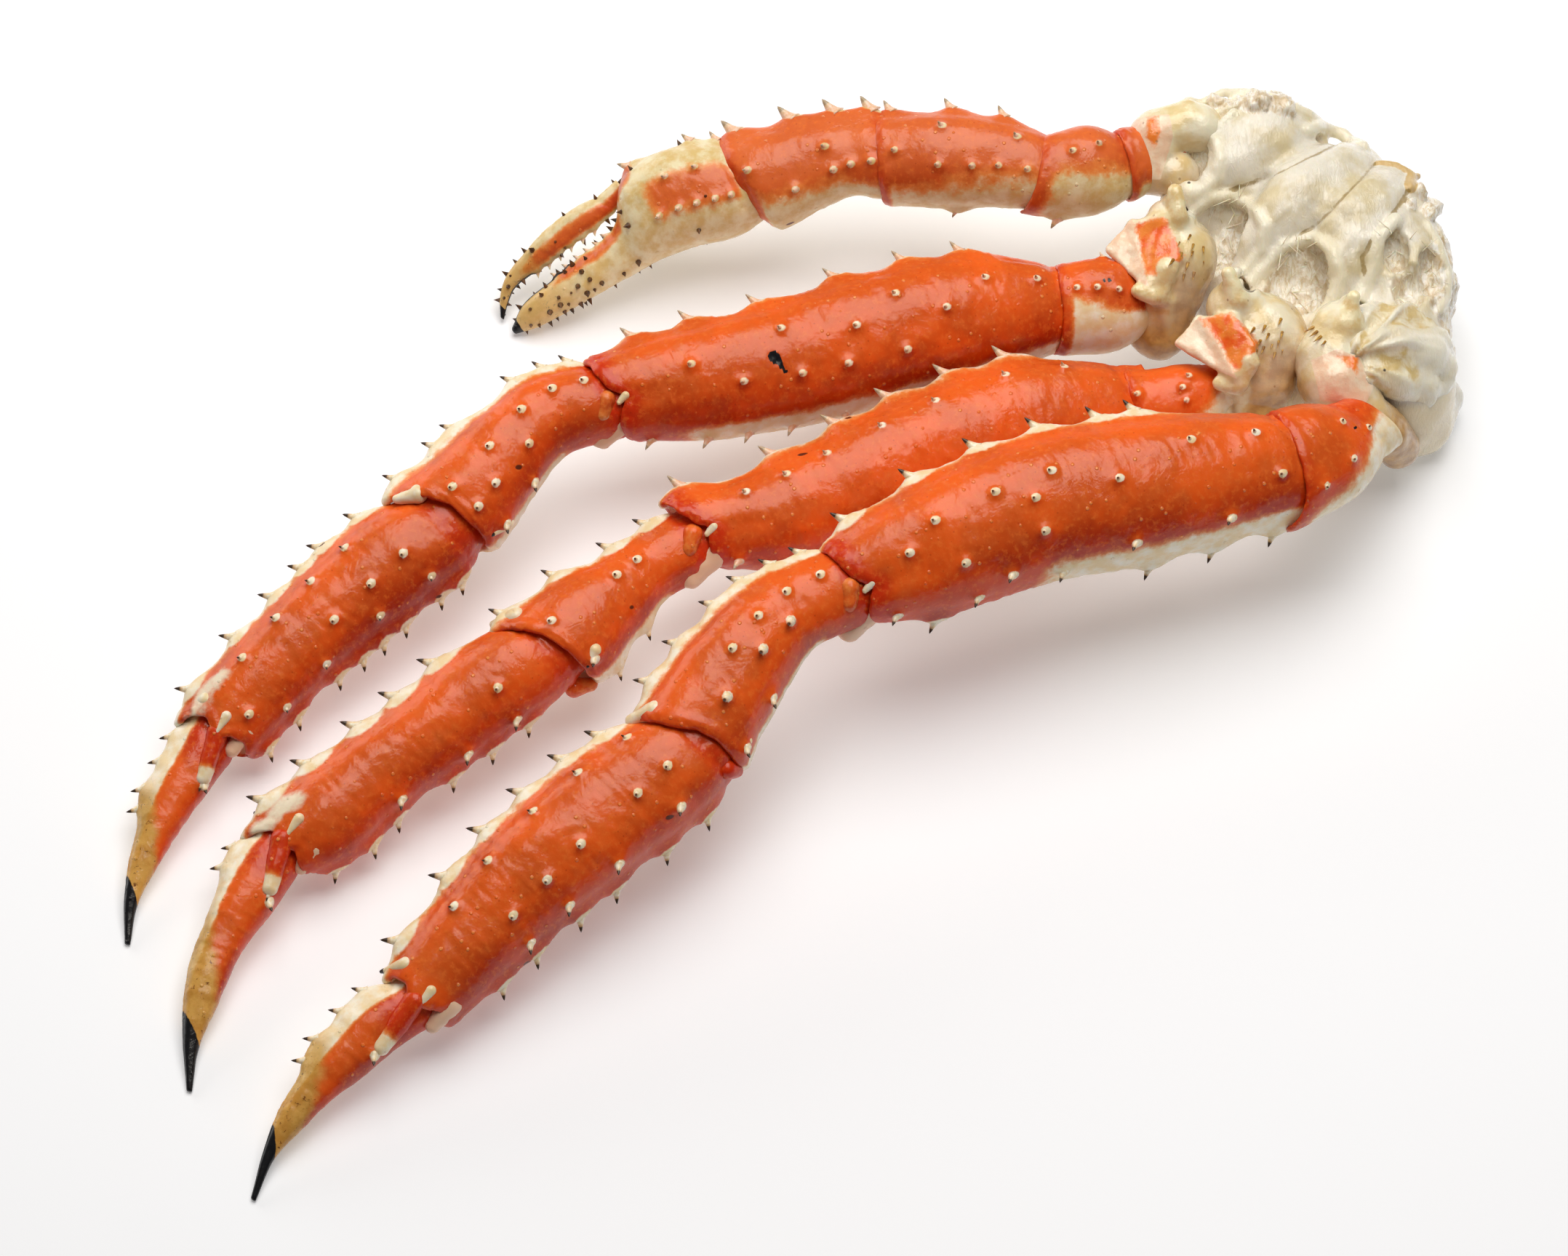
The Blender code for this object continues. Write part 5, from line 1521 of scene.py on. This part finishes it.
hip_shell = hip_finish()
amber_finish = two_tone_finish("amber_bristle", {"Roughness": 0.4}, 1.5, srgb(140, 92, 22),
                               srgb(196, 150, 58))
for limb_name, hip in HIPS.items():
    rise = OPEN_SIDE * hip["rise"]
    shaft = [np.array(hip["hole"]) + OPEN_SIDE * reach for reach in (6, -12)] if hip["hole"] else None
    hip_form = hip_form_of(hip, rise, shaft)
    points, quads = sculpt(hip_form, *(np.array(corner) + rise for corner in hip["box"]), 0.8)
    normal = form_normals(hip_form, points)
    world_points, points = points, points - rise
    plain = np.zeros(len(points))
    open_share = np.clip(0.5 + normal @ OPEN_SIDE, 0, 1)
    knob_distance = np.min([roll(points, path, radii) for path, radii in hip["knobs"]], axis=0)
    knob_mark = 1 - ease(0.0, 1.4, knob_distance)
    pink_mark = (1 - ease(-0.6, 0.6, outline(points, hip["pink"]))) * open_share
    patch_mark = (1 - ease(-2.4, 2.0, outline(points, hip["patch"]))) * open_share * (1 - knob_mark)
    tuft_mark = 1 - ease(-2, 1, blob(points, *hip["bristles"])) if hip["bristles"] else plain
    # Where the carved hole is, for the near-black painted shade in it.
    painted_hole_shade = 1 - ease(-0.4, 0.7, roll(points, shaft, SHAFT_RADII)) if shaft else plain
    # Darker ochre towards the bottom of each hip: painted shade.
    low_shade_mark = 1 - ease(22, 46, points[:, 2] + 7 * unevenness(points, 9.0, 34, 2))
    height = 0.7 * unevenness(points, 11.0, 31, 2) + 0.35 * unevenness(points, 4.0, 32, 2)
    wrinkles = 0.5 - np.abs(unevenness(points * np.array([0.6, 0.35, 0.35]), 3.0, 33, 2))
    height = height + 0.7 * pink_mark * wrinkles
    points = world_points + normal * height[:, None]
    mesh = new_mesh(limb_name + "_hip", points, [quads], {
        "hole": painted_hole_shade, "knob": knob_mark, "pink": pink_mark * (1 - knob_mark), "patch": patch_mark,
        "low": low_shade_mark, "tuft": tuft_mark * np.clip(normal @ OPEN_SIDE, 0, 1) * (1 - patch_mark)})
    hip_piece = put_piece(limb_name + "_hip", mesh, hip_shell, "joint_shell", limb_name + "_coxa")
    if hip["bristles"]:
        tufts = grown(limb_name + "_hip_bristles", hip_piece.data.copy(), sow_tufts,
                      {"Most": 300000.0, "Apart": 0.0023, "Foot": 0.0005, "Tall": 0.0038,
                       "Lean": (-0.7, -1.1, -0.5), "Seed": 9, "Finish": amber_finish})
        put_piece(limb_name + "_hip_bristles", tufts, amber_finish, "joint_shell")


# Table: a plain white table top that runs on out of sight. It is a little cool and glows a little,
# so that it stays white under the warm lamps.
TABLE_SIDE = 12.0


def stage_floor():
    half = TABLE_SIDE / 2
    mesh = bpy.data.meshes.new("table")
    corners = [(-half, -half, 0), (half, -half, 0), (half, half, 0), (-half, half, 0)]
    mesh.from_pydata(corners, [], [(0, 1, 2, 3)])
    floor = bpy.data.objects.new("table", mesh)
    bpy.context.scene.collection.objects.link(floor)
    finish, _, _ = new_finish("white_table", {
        "Base Color": (0.84, 0.87, 0.94, 1.0), "Roughness": 0.6, "Specular IOR Level": 0.2,
        "Emission Color": (1.0, 1.0, 1.0, 1.0), "Emission Strength": 0.21})
    mesh.materials.append(finish)
    return floor


stage_floor()


# Lamps and camera: one very large warm softbox above and behind the table, a smaller one at the far
# left, a faint white room, and a long lens that looks down on the cluster from the front.
WARM_WHITE = (1.0, 0.95, 0.87)


def soft_light(name, place, target, size_x, size_y, power):
    lamp = bpy.data.lights.new(name, "AREA")
    lamp.shape = "RECTANGLE"
    lamp.size = size_x
    lamp.size_y = size_y
    lamp.energy = power
    lamp.color = WARM_WHITE
    light = bpy.data.objects.new(name, lamp)
    light.location = place
    aim = Vector(target) - Vector(place)
    light.rotation_euler = aim.to_track_quat("-Z", "Y").to_euler()
    light.visible_camera = False
    bpy.context.scene.collection.objects.link(light)


soft_light("overhead_softbox", (0.15, 0.5, 1.35), (0.15, 0.501, 0), 1.2, 1.4, 23.4)
soft_light("window_softbox", (-1.3, 1.2, 0.6), (0, 0.0, 0.02), 1.3, 0.9, 9.5)
world = bpy.data.worlds.new("white_room")
world.use_nodes = True
room = world.node_tree.nodes["Background"]
room.inputs["Color"].default_value = (1.0, 1.0, 1.0, 1.0)
room.inputs["Strength"].default_value = 0.06
bpy.context.scene.world = world

camera_data = bpy.data.cameras.new("camera")
camera_data.lens = 102.86
camera_data.sensor_width = 36.0
camera = bpy.data.objects.new("camera", camera_data)
camera.location = (-0.009, -0.7565, 1.1741)
camera.rotation_euler = (np.radians(33.0), 0.0, 0.0)
bpy.context.scene.collection.objects.link(camera)
bpy.context.scene.camera = camera
bpy.context.scene.view_settings.view_transform = "Standard"
